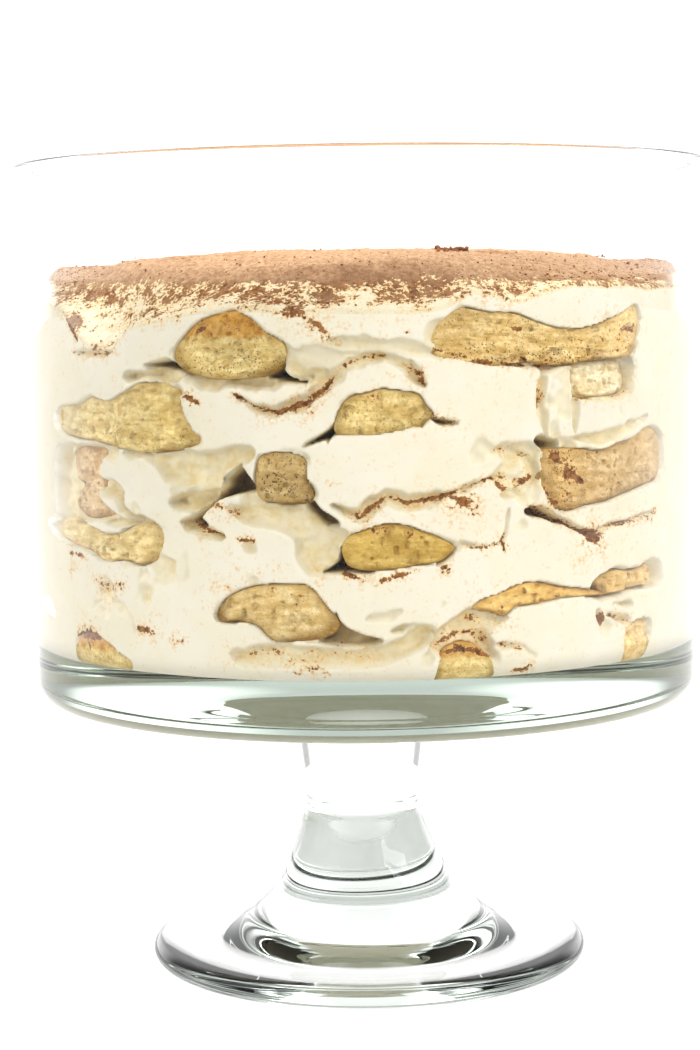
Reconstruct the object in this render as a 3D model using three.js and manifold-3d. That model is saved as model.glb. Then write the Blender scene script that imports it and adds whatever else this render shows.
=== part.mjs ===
// Tiramisu in a footed glass trifle bowl: six layers of mascarpone cream, each with a row of sponge fingers
// bedded in it, heaped in the middle and dusted with cocoa.
// Millimetres, +Z up. The origin is the centre of the foot's underside, and the front faces -Y.
import * as THREE from "three";
import { mergeVertices } from "three/addons/utils/BufferGeometryUtils.js";
import Module from "manifold-3d";

const wasm = await Module();
wasm.setup();

const GAP = 0.3; // between two pieces that touch
const SIMPLIFY = 0.06; // how far a cut surface may move when its slivers are merged

// ---- Bowl: pressed glass, one piece with its stem and foot
const BOWL_R = 100; // outside of the straight wall
const WALL = 4.35;
const RIM_R = 106.2;
const RIM_Z = 241.4;
const FLARE_Z = 207; // where the wall starts to flare towards the rim
const FLOOR_Z = 99.3;
const UNDERSIDE_Z = 82.5;
const UNDERSIDE_CORNER = 10;
const FLOOR_CORNER = 5;
const STEM_R = 18.2;
const STEM_FILLET = 7;
const STEM_FOOT_Z = 43.5; // where the stem starts to spread into the foot
const FOOT_R = 66.6;
const FOOT_EDGE = 3.2; // radius of the foot's beaded edge
const FOOT_HOLLOW_R = 52; // the underside is ground flat outside this radius and slightly hollow inside it
const FOOT_HOLLOW = 2.6;
const BOWL_STEPS = 50;

// ---- Contents
const INNER_R = BOWL_R - WALL;
// The contents stop short of the flat facets of the bowl's inside.
const FILL_R = INNER_R * Math.cos(Math.PI / BOWL_STEPS) - GAP;
const FILL_STEPS = 36;
const LEVELS = [FLOOR_Z + GAP, 114.6, 127.4, 145, 163, 180.4]; // mean underside of each cream layer
const LEVEL_WAVE = 1.3;
const SHOULDER = 5.5; // how far a layer's top and bottom edges draw back from the glass
const EDGE_Z = 211.4; // the top layer where it meets the glass, round the sides and back
const EDGE_FRONT_DIP = 10.6; // and how far below that it lies at the front
const EDGE_RIGHT_RISE = 1.6;
const MOUND_Z = 214.8; // the top layer in the middle
const COCOA = 1.5;
const COCOA_R = 86;

// ---- Sponge fingers
const FINGER_STEPS = 8;
const ACROSS_FLATS = 1 / Math.cos(Math.PI / FINGER_STEPS);
const FINGER_DOME = 0.6; // share of the thickness above the widest line
const FINGER_LENGTH = 52; // of a finger laid inwards, from the glass
const FINGER_ALONG = [0.03, 0.22, 0.5, 0.78, 0.97]; // where a finger laid along the glass has a section
const PRESS = 2.4; // how much of a finger's side the glass squeezes flat
const FINGER_INSET = 0.8; // how far the fingers' flat faces lie inside the contents' outline
const CUT_THROUGH = 2; // how far a cutter stands out of the cream

const GLASS = new THREE.MeshStandardMaterial({ color: 0xe9f0ec, roughness: 0.03, metalness: 0, transparent: true, opacity: 0.35 });
const CREAM = new THREE.MeshStandardMaterial({ color: 0xf8f1db, roughness: 0.45, metalness: 0 });
const SPONGE = new THREE.MeshStandardMaterial({ color: 0xbf9a5c, roughness: 0.9, metalness: 0 });
const POWDER = new THREE.MeshStandardMaterial({ color: 0x7a4a30, roughness: 1, metalness: 0 });

const radians = THREE.MathUtils.degToRad;
const mix = THREE.MathUtils.lerp;

// A point in the part's frame from an angle round the bowl, 0 at the front and positive towards +X.
function polar(angle, radius, z) {
  return new THREE.Vector3(radius * Math.sin(angle), -radius * Math.cos(angle), z);
}

// Uneven, repeatable waviness round the bowl, from -1 to 1.
function waviness(angle, seed) {
  return (
    0.5 * Math.sin(3 * angle + 1.7 * seed) +
    0.3 * Math.sin(5 * angle + 2.9 * seed) +
    0.2 * Math.sin(8 * angle + 4.1 * seed)
  );
}

// An indexed closed surface: a fan from the first pole, bands between equal rings, and a fan to the last pole.
function ringedGeometry(firstPole, rings, lastPole) {
  const steps = rings[0].length;
  const points = [firstPole, ...rings.flat(), lastPole];
  const at = (ring, step) => 1 + ring * steps + (step % steps);
  const faces = [];
  for (let step = 0; step < steps; step++) {
    faces.push([0, at(0, step + 1), at(0, step)]);
    for (let ring = 0; ring + 1 < rings.length; ring++) {
      faces.push([at(ring, step), at(ring, step + 1), at(ring + 1, step + 1)]);
      faces.push([at(ring, step), at(ring + 1, step + 1), at(ring + 1, step)]);
    }
    faces.push([at(rings.length - 1, step), at(rings.length - 1, step + 1), points.length - 1]);
  }
  let volume = 0;
  for (const [a, b, c] of faces) {
    volume += points[a].dot(points[b].clone().cross(points[c]));
  }
  const index = volume < 0 ? faces.map(([a, b, c]) => [a, c, b]) : faces;
  return new THREE.BufferGeometry().setFromPoints(points).setIndex(index.flat());
}

function toSolid(geometry) {
  const merged = mergeVertices(geometry, 1e-4);
  return new wasm.Manifold(
    new wasm.Mesh({
      numProp: 3,
      vertProperties: merged.attributes.position.array,
      triVerts: new Uint32Array(merged.index.array),
    }),
  );
}

// The largest body of a solid as a geometry: a cut can leave scraps of cream behind.
function toGeometry(solid) {
  const bodies = solid
    .simplify(SIMPLIFY)
    .decompose().sort((a, b) => b.volume() - a.volume());
  const mesh = bodies[0].getMesh();
  return new THREE.BufferGeometry()
    .setAttribute("position", new THREE.BufferAttribute(mesh.vertProperties, 3))
    .setIndex(new THREE.BufferAttribute(mesh.triVerts, 1));
}

// Points on an arc in the lathe profile, angles in degrees from the outward radius.
function arc(centreR, centreZ, radius, from, to, steps) {
  return Array.from({ length: steps + 1 }, (_, i) => {
    const angle = radians(mix(from, to, i / steps));
    return new THREE.Vector2(centreR + radius * Math.cos(angle), centreZ + radius * Math.sin(angle));
  });
}

// Outside radius of the bowl's wall at a height: straight, then a soft flare to the rim.
function wallRadius(z) {
  return mix(BOWL_R, RIM_R, THREE.MathUtils.smoothstep(z, FLARE_Z, RIM_Z));
}

function bowl() {
  const lip = WALL / 2 - 0.4;
  const lipR = RIM_R - lip;
  const flare = [0, 0.32, 0.65].map((share) => mix(FLARE_Z, RIM_Z - lip, share));
  const profile = [
    new THREE.Vector2(0, FOOT_HOLLOW),
    new THREE.Vector2(FOOT_HOLLOW_R * 0.7, FOOT_HOLLOW * 0.8),
    new THREE.Vector2(FOOT_HOLLOW_R, 0),
    ...arc(FOOT_R - FOOT_EDGE, FOOT_EDGE, FOOT_EDGE, -90, 80, 3),
    new THREE.Vector2(50, 7.4),
    new THREE.Vector2(40.5, 10.2),
    new THREE.Vector2(33.6, 15.6),
    new THREE.Vector2(27.4, 22.6),
    new THREE.Vector2(21.4, 34),
    new THREE.Vector2(STEM_R, STEM_FOOT_Z),
    new THREE.Vector2(STEM_R + 0.6, UNDERSIDE_Z - STEM_FILLET),
    ...arc(STEM_R + 0.6 + STEM_FILLET, UNDERSIDE_Z - STEM_FILLET, STEM_FILLET, 150, 90, 2),
    ...arc(BOWL_R - UNDERSIDE_CORNER, UNDERSIDE_Z + UNDERSIDE_CORNER, UNDERSIDE_CORNER, -90, 0, 4),
    ...flare.map((z) => new THREE.Vector2(wallRadius(z), z)),
    ...arc(lipR, RIM_Z - lip, lip, 0, 180, 4),
    ...flare.map((z) => new THREE.Vector2(wallRadius(z) - WALL, z)).reverse(),
    ...arc(INNER_R - FLOOR_CORNER, FLOOR_Z + FLOOR_CORNER, FLOOR_CORNER, 0, -90, 3),
    new THREE.Vector2(0, FLOOR_Z),
  ];
  return new THREE.LatheGeometry(profile, BOWL_STEPS).rotateX(Math.PI / 2);
}

// Underside of cream layer `layer` at an angle. The first layer lies flat on the glass floor.
function levelHeight(layer, angle) {
  return LEVELS[layer] + (layer === 0 ? 0 : LEVEL_WAVE * waviness(angle, layer));
}

// The heaped top of the cream: low and uneven at the front of the glass, higher round the sides and back.
function topHeight(angle, radius) {
  const dip = EDGE_FRONT_DIP * THREE.MathUtils.smoothstep(Math.cos(angle), 0.15, 0.75);
  const edge = EDGE_Z + EDGE_RIGHT_RISE * Math.sin(angle) - dip + 1.3 * waviness(angle, 9);
  const heap = 1 - THREE.MathUtils.smoothstep(radius, FILL_R * 0.66, FILL_R);
  return mix(edge, MOUND_Z + 0.8 * waviness(angle, 4) * (radius / FILL_R), heap);
}

function cocoaEdge(angle) {
  return COCOA_R + 1.5 * waviness(angle, 6);
}

function ring(heightAt, radiusAt) {
  return Array.from({ length: FILL_STEPS }, (_, i) => {
    const angle = (2 * Math.PI * i) / FILL_STEPS;
    const radius = radiusAt(angle);
    return polar(angle, radius, heightAt(angle, radius));
  });
}

// The rings of the top surface, from the cocoa's edge inwards, raised by `lift`.
function topRings(lift) {
  const height = (angle, radius) => topHeight(angle, radius) + lift;
  return [ring(height, cocoaEdge), ring(height, () => 74), ring(height, () => 46)];
}

// A cream layer runs right through the dessert. Its edge bulges towards the glass between drawn-back shoulders.
function creamLayer(layer) {
  const last = layer === LEVELS.length - 1;
  const lower = (angle) => levelHeight(layer, angle) + (layer === 0 ? 0 : GAP / 2);
  const upper = (angle) =>
    last ? topHeight(angle, FILL_R - SHOULDER) : levelHeight(layer + 1, angle) - GAP / 2;
  const bulge = (share, pull) =>
    ring(
      (angle) => mix(lower(angle), upper(angle), share),
      (angle) => FILL_R - pull * (1 + 0.6 * waviness(angle, 3 * layer + 7 * share)),
    );
  const floorPull = layer === 0 ? FLOOR_CORNER + GAP : SHOULDER;
  const rings = [
    ring(lower, () => FILL_R - floorPull),
    bulge(layer === 0 ? 0.36 : 0.16, 1.4),
    bulge(0.55, 0.3),
    bulge(0.84, 1.4),
    ring(upper, () => FILL_R - SHOULDER),
  ];
  if (last) {
    rings.push(...topRings(0));
  }
  const bottom = polar(0, 0, LEVELS[layer] + (layer === 0 ? 0 : GAP / 2));
  const top = polar(0, 0, last ? MOUND_Z : LEVELS[layer + 1] - GAP / 2);
  return ringedGeometry(bottom, rings, top);
}

// The dusting as a thin skin over the heap. It is built downwards so that its underside has the cream's own faces.
function cocoa() {
  const upper = topRings(GAP + COCOA).reverse();
  const lower = topRings(GAP);
  const rim = ring((angle, radius) => topHeight(angle, radius) + GAP + COCOA * 0.45, (angle) => cocoaEdge(angle) + 0.6);
  upper[2] = ring((angle, radius) => topHeight(angle, radius) + GAP + COCOA, (angle) => cocoaEdge(angle) - 1.5);
  return ringedGeometry(polar(0, 0, MOUND_Z + GAP + COCOA), [...upper, rim, ...lower], polar(0, 0, MOUND_Z + GAP));
}

// Radius that the contents fill at a height, drawn in over the rounded corner of the glass floor.
function fillRadius(z) {
  const below = Math.min(FLOOR_CORNER, Math.max(0, FLOOR_Z + FLOOR_CORNER - z));
  return FILL_R - FLOOR_CORNER + Math.sqrt(FLOOR_CORNER ** 2 - below ** 2);
}

// One section of a finger: a flat base under a dome, `width` along `side`. What would stand more than `out` beyond
// the contents is squeezed flat.
function fingerSection(centre, side, width, thick, out) {
  return Array.from({ length: FINGER_STEPS }, (_, i) => {
    const turn = (2 * Math.PI * (i + 0.5)) / FINGER_STEPS;
    const share = turn < Math.PI ? FINGER_DOME : 1 - FINGER_DOME;
    const point = centre.clone().addScaledVector(side, (width / 2) * ACROSS_FLATS * Math.cos(turn));
    point.z += thick * (share * ACROSS_FLATS * Math.sin(turn) + 0.5 - FINGER_DOME);
    const squeeze = Math.min(1, (fillRadius(point.z) + out) / Math.hypot(point.x, point.y));
    return point.multiply(new THREE.Vector3(squeeze, squeeze, 1));
  });
}

// A finger laid inwards shows only its end, squeezed flat on the glass. `grow` swells it all round for a cut.
function fingerInwards({ at, z, width, thick }, grow) {
  const angle = radians(at);
  const side = polar(angle + Math.PI / 2, 1, 0);
  const out = grow > 0 ? CUT_THROUGH : -FINGER_INSET;
  const end = FINGER_LENGTH + grow;
  const sections = [
    { depth: -out, size: 0.88 },
    { depth: 6, size: 1 },
    { depth: end - 9, size: 0.84 },
    { depth: end - 1.5, size: 0.45 },
  ];
  const rings = sections.map(({ depth, size }) =>
    fingerSection(
      polar(angle, fillRadius(z) - depth, z),
      side,
      width * size + 2 * grow,
      thick * Math.sqrt(size) + 2 * grow,
      out,
    ),
  );
  return ringedGeometry(polar(angle, FILL_R + out, z), rings, polar(angle, FILL_R - end, z));
}

// A finger laid along the glass bends with it. `lean` is how far its right end stands above its left.
function fingerAlong({ at, z, width, thick, length, lean = 0 }, grow) {
  const out = grow > 0 ? CUT_THROUGH : -FINGER_INSET;
  const centreR = FILL_R + PRESS - width / 2;
  const place = (share) =>
    polar(radians(at) + ((share - 0.5) * (length + 2 * grow)) / centreR, centreR, z + lean * (share - 0.5));
  const rings = FINGER_ALONG.map((share) => {
    const centre = place(share);
    const size = Math.sqrt(1 - Math.abs(2 * share - 1) ** 3.2);
    const outward = centre.clone().setZ(0).normalize();
    return fingerSection(centre, outward, width * size + 2 * grow, thick * Math.sqrt(size) + 2 * grow, out);
  });
  return ringedGeometry(place(0), rings, place(1));
}

function finger(spec, grow = 0) {
  return spec.length ? fingerAlong(spec, grow) : fingerInwards(spec, grow);
}

// The fingers that show at the front, row by row from the floor up.
const FRONT_ROWS = [
  [
    { at: -51.8, z: 107.4, width: 22, thick: 12.4 },
    { at: 15.3, z: 107.4, width: 20, thick: 12.4 },
    { at: 51.8, z: 107.4, width: 18, thick: 12.4 },
  ],
  [
    { at: -14, z: 118.6, width: 33, thick: 15.5 },
    { at: 27.6, z: 121, width: 26, thick: 9.5, length: 37, lean: 1.5 },
    { at: 50.8, z: 122.9, width: 22, thick: 8.5, length: 25, lean: 2 },
  ],
  [
    { at: -50.2, z: 136, width: 27, thick: 14, length: 53, lean: -4 },
    { at: 4.8, z: 135.8, width: 28, thick: 12.6 },
  ],
  [
    { at: -54, z: 153, width: 24, thick: 15 },
    { at: -13.7, z: 154.7, width: 20, thick: 13.4 },
    { at: 45.4, z: 153, width: 30, thick: 17.5, length: 53, lean: 3 },
  ],
  [
    { at: -47, z: 170.4, width: 29, thick: 16.5, length: 61, lean: -1 },
    { at: 2.6, z: 171.4, width: 26, thick: 13.4 },
    { at: 42.7, z: 174.5, width: 24, thick: 11.5 },
  ],
  [
    { at: -22.9, z: 189.4, width: 32, thick: 16.8 },
    { at: 31.2, z: 190.8, width: 28, thick: 14.8, length: 68 },
  ],
];

// Round the back the same mix goes on, staggered from row to row and uneven by a seeded draw.
const BACK_FROM = 80;
const BACK_TO = 284;
const BACK_Z = [107.4, 120.8, 136, 154, 171.4, 189.5];
let seed = 20;
function draw(low, high) {
  seed = (seed * 16807) % 2147483647;
  return mix(low, high, seed / 2147483647);
}
function backRow(row) {
  const count = row % 2 === 0 ? 4 : 3;
  const pitch = (BACK_TO - BACK_FROM) / count;
  return Array.from({ length: count }, (_, i) => {
    const along = (i + row) % 3 === 1;
    return {
      at: BACK_FROM + pitch * (i + 0.5) + draw(-5, 5),
      z: BACK_Z[row] + (row > 0 ? draw(-1, 1) : 0),
      width: along ? draw(25, 29) : draw(24, 34),
      thick: row < 2 ? 12.4 : draw(13, 15.5),
      length: along ? draw(46, 60) : 0,
      lean: along ? draw(-4, 4) : 0,
    };
  });
}

function add(group, name, geometry, material) {
  const mesh = new THREE.Mesh(geometry, material);
  mesh.name = name;
  group.add(mesh);
}

const tiramisu = new THREE.Group();
add(tiramisu, "glass_bowl", bowl(), GLASS);

const fingers = FRONT_ROWS.flatMap((row, i) =>
  [...row, ...backRow(i)].map((spec, j) => ({ name: `finger_${i + 1}_${j + 1}`, spec })),
);
for (const { name, spec } of fingers) {
  add(tiramisu, name, finger(spec), SPONGE);
}

const cutters = fingers.map(({ spec }) => ({ z: spec.z, solid: toSolid(finger(spec, GAP)) }));
LEVELS.forEach((level, layer) => {
  const ceiling = layer + 1 < LEVELS.length ? LEVELS[layer + 1] : MOUND_Z;
  const near = cutters.filter(({ z }) => z > level - 14 && z < ceiling + 14);
  const cut = near.reduce((solid, cutter) => solid.subtract(cutter.solid), toSolid(creamLayer(layer)));
  add(tiramisu, `cream_layer_${layer + 1}`, toGeometry(cut), CREAM);
});

add(tiramisu, "cocoa_dusting", cocoa(), POWDER);

export default tiramisu;
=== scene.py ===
"""Looks for the tiramisu: its clear pressed-glass bowl, mascarpone cream, sponge fingers and cocoa.

Lengths are in millimetres until a mesh is made, and angles round the bowl in degrees, 0 at the front and
positive to the right. A place on the glass is (angle, height). The places below are as they look through the
glass from the front, and `behind_glass` turns them into where they lie on its inner wall.
"""

import math

import bpy
import numpy as np
from mathutils import Matrix, Vector


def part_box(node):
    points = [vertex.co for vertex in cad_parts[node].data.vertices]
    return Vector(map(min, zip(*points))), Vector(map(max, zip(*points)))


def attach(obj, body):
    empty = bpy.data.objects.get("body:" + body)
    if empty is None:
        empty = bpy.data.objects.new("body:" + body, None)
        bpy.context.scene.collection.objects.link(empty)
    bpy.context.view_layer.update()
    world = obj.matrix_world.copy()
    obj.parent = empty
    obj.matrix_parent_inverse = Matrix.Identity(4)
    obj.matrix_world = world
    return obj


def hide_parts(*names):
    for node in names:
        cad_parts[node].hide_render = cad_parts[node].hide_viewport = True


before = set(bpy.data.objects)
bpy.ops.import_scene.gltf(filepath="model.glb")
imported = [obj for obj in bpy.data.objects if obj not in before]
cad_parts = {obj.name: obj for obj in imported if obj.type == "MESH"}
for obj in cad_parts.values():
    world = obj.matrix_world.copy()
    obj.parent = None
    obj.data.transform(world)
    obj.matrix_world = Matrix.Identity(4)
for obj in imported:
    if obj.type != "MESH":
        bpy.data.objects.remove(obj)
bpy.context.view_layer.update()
MM = 0.001

# The photograph's camera, fitted to the rim, the base and the foot.
EYE_X, EYE_Y, EYE_Z = -4.4, -727.0, 199.2
TILT, ROLL = 0.0912, -0.012  # down from level, and about its own axis, in radians
FOCAL_PX, IMAGE_HEIGHT_PX = 2384.0, 1050.0
SENSOR = 36.0

SPREAD = 1.08  # how much wider the contents lie than they look, because the round wall bends the view
SINK = 0.008  # and how much lower, for each millimetre below the camera


def behind_glass(places):
    return [(SPREAD * angle, z - SINK * (EYE_Z - z)) for angle, z in places]


# ---------------------------------------------------------------- sizes

def box_mm(node):
    low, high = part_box(node)
    return np.array(low) / MM, np.array(high) / MM


RIM_Z = box_mm("glass_bowl")[1][2]
FOOT_R = 66.6
FOOT_BEAD = 3.2
BOWL_R = 100.0
WALL = 4.35
RIM_R = 106.2
FLARE_Z = 207.0
FLOOR_Z = 99.3
FLOOR_CORNER = 5.0
UNDERSIDE_Z = 82.5
UNDERSIDE_CORNER = 5.0
UNDERSIDE_TURN = 7.0  # height of that corner
STEM_LEAN = 1.7  # the stem stands this far to the left of the axis
INNER_R = BOWL_R - WALL
INTO_GLASS = 0.15  # how far what touches the glass reaches into it, so that no film of air shows
# Between these heights the sponge leaves the glass's rounded corner.
FREE_FROM, FREE_AT = FLOOR_Z + 4.5, FLOOR_Z + 8
LIP = 1.1  # radius of the rim's rounded edges

MOUND_Z = 214.4  # the middle of the heaped cream
SHOULDER = 2.4  # radius of the cream's upper edge at the glass
DEEPEST = 15.0  # how far behind the glass a crevice or a finger's bed can lie
CREAM_ROWS = 176
DUST = 1.1  # depth of the cocoa on the heap
DUST_R = 80.0
DUST_UNDER = 0.9  # how far the cocoa's underside lies in the cream

# Round the back, where the photograph doesn't show them: the heights between two layers, and the angles they
# run from and to.
LEVELS = (113, 127, 145, 163, 181)
BACK_FROM, BACK_TO = 80, 272

# Where the top of the cream meets the glass: (angle, height).
CONTACT = [
    (-96, 212), (-88, 212), (-78, 209.5), (-70, 205.5), (-66, 204), (-60, 203), (-55, 200), (-50.5, 194),
    (-46, 189.5), (-43, 189.6), (-40, 192.5), (-38, 196), (-33, 197.4), (-27, 199.4), (-20, 200.6),
    (-14, 200), (-8, 199.6), (8, 199.2), (12, 200.5), (16, 204.5), (20, 203), (24, 201.6), (27, 203.6),
    (33, 206), (40, 205.4), (45, 206), (50, 204.6), (60, 206), (70, 208), (80, 211), (92, 212.4), (120, 212),
    (150, 211), (185, 212), (220, 211.4), (230, 212),
]

# Cream, from where it lies on the glass to the crevices by the sponge: yellower and soaked deeper in, and
# darkened there as painted shade of the recesses. A pair is a darker and a lighter tone.
IVORY = ((0.865, 0.80, 0.63), (0.885, 0.83, 0.70))
DRAWN_BACK_SHADED = (0.82, 0.745, 0.55)
BUTTER_SHADED = ((0.77, 0.63, 0.34), (0.87, 0.77, 0.53))
SOAKED_AND_SHADED = (0.32, 0.215, 0.075)
CREVICE_SOAK_AND_SHADE = (0.035, 0.022, 0.01)

# Cocoa from damp to dry; the dry tone also carries painted light on the crest.
DAMP_COCOA = ((0.13, 0.042, 0.012), (0.40, 0.175, 0.06))
DRY_LIT_COCOA = ((0.36, 0.195, 0.095), (0.60, 0.38, 0.215))
GRAIN_COCOA = ((0.13, 0.036, 0.01), (0.40, 0.16, 0.05))
# Painted sheen: this darkens cocoa's colour where it is seen face on, and leaves it pale at grazing angles.
FACE_ON = (0.52, 0.42, 0.36)  # what is left of dry cocoa's colour where it is seen face on, without its sheen
STAIN = (0.80, 0.50, 0.16)

# Sponge colours, before pores and mottling.
STRAW = (0.885, 0.73, 0.365)
MUSTARD = (0.87, 0.72, 0.38)
HONEY = (0.87, 0.67, 0.34)
GOLD = (0.74, 0.54, 0.17)
AMBER = (0.86, 0.60, 0.24)
KHAKI = (0.84, 0.67, 0.36)
UMBER = (0.80, 0.60, 0.29)
DRAB = (0.66, 0.50, 0.25)
TAN = (0.74, 0.55, 0.30)
BLUSH = (0.82, 0.63, 0.42)
PALE = (0.93, 0.86, 0.66)
CRUST = (0.44, 0.17, 0.022)
TOAST = (0.74, 0.42, 0.09)
# Painted shade inside the sponge's pores.
PORE_SHADE = (0.13, 0.07, 0.02)
# Round a finger's edge: partly soaked sponge and partly painted shade.
SOAKED_EDGE_SHADE = (0.46, 0.36, 0.2)


# ---------------------------------------------------------------- outlines

def spline(a, b, c, d, t):
    """Part of a smooth curve from `b` to `c`, with its neighbours `a` and `d`."""
    return 0.5 * (2 * b + (c - a) * t + (2 * a - 5 * b + 4 * c - d) * t ** 2
                  + (3 * b - a - 3 * c + d) * t ** 3)


def smooth_loop(points, steps=8):
    """A smooth closed curve through points."""
    p = np.asarray(points, float)
    before, after, far = np.roll(p, 1, axis=0), np.roll(p, -1, axis=0), np.roll(p, -2, axis=0)
    t = (np.arange(steps) / steps)[None, :, None]
    return spline(*(q[:, None] for q in (before, p, after, far)), t).reshape(-1, 2)


def through(points, steps):
    """A smooth open curve through points."""
    p = np.asarray(points, float)
    padded = np.concatenate([[2 * p[0] - p[1]], p, [2 * p[-1] - p[-2]]])
    t = np.linspace(0, 1, steps, endpoint=False)[:, None]
    parts = [spline(*four, t) for four in zip(padded, padded[1:], padded[2:], padded[3:])]
    return np.concatenate(parts + [p[-1:]])


def heart(loop):
    """The place inside an outline that sees as much of it as it can: the deepest one behind all its edges."""
    low, high = loop.min(axis=0), loop.max(axis=0)
    scale = high - low
    edge = (np.roll(loop, -1, axis=0) - loop) / scale
    outward = np.stack([edge[:, 1], -edge[:, 0]], axis=1) / (np.hypot(*edge.T)[:, None] + 1e-9)
    grid = np.linspace(0.1, 0.9, 25)
    tries = np.stack(np.meshgrid(grid, grid), axis=-1).reshape(-1, 2)
    turning = np.sign(np.sum(loop[:, 0] * np.roll(loop[:, 1], -1) - np.roll(loop[:, 0], -1) * loop[:, 1]))
    behind = turning * np.sum(((loop - low) / scale - tries[:, None]) * outward, axis=2)
    return low + scale * tries[np.argmax(behind.min(axis=1))]


def finger(outline, tone=STRAW, crust=0.0, depth=0.25, open_crumb=0.4):
    """A sponge finger that shows through the glass in this outline. Its face lies `depth` behind the glass,
    `crust` is how much of its top is baked brown, and `open_crumb` is how much its pores show."""
    return outlined(behind_glass(outline), tone, crust, depth, open_crumb)


def outlined(outline, tone, crust, depth, open_crumb):
    """A finger from its outline on the inner wall, with the reach of that outline in every direction."""
    loop = smooth_loop(outline)
    low, high = loop.min(axis=0), loop.max(axis=0)
    at, z = heart(loop)
    half, tall = 0.5 * (high - low) * (math.radians(INNER_R), 1)
    x, y = (loop[:, 0] - at) * math.radians(INNER_R) / half, (loop[:, 1] - z) / tall
    turn, reach = np.arctan2(y, x), np.hypot(x, y)
    order = np.argsort(turn)
    return dict(at=at, z=z, half=half, tall=tall, turn=turn[order], reach=reach[order], tone=tone,
                crust=crust, depth=depth, open_crumb=open_crumb)


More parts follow.
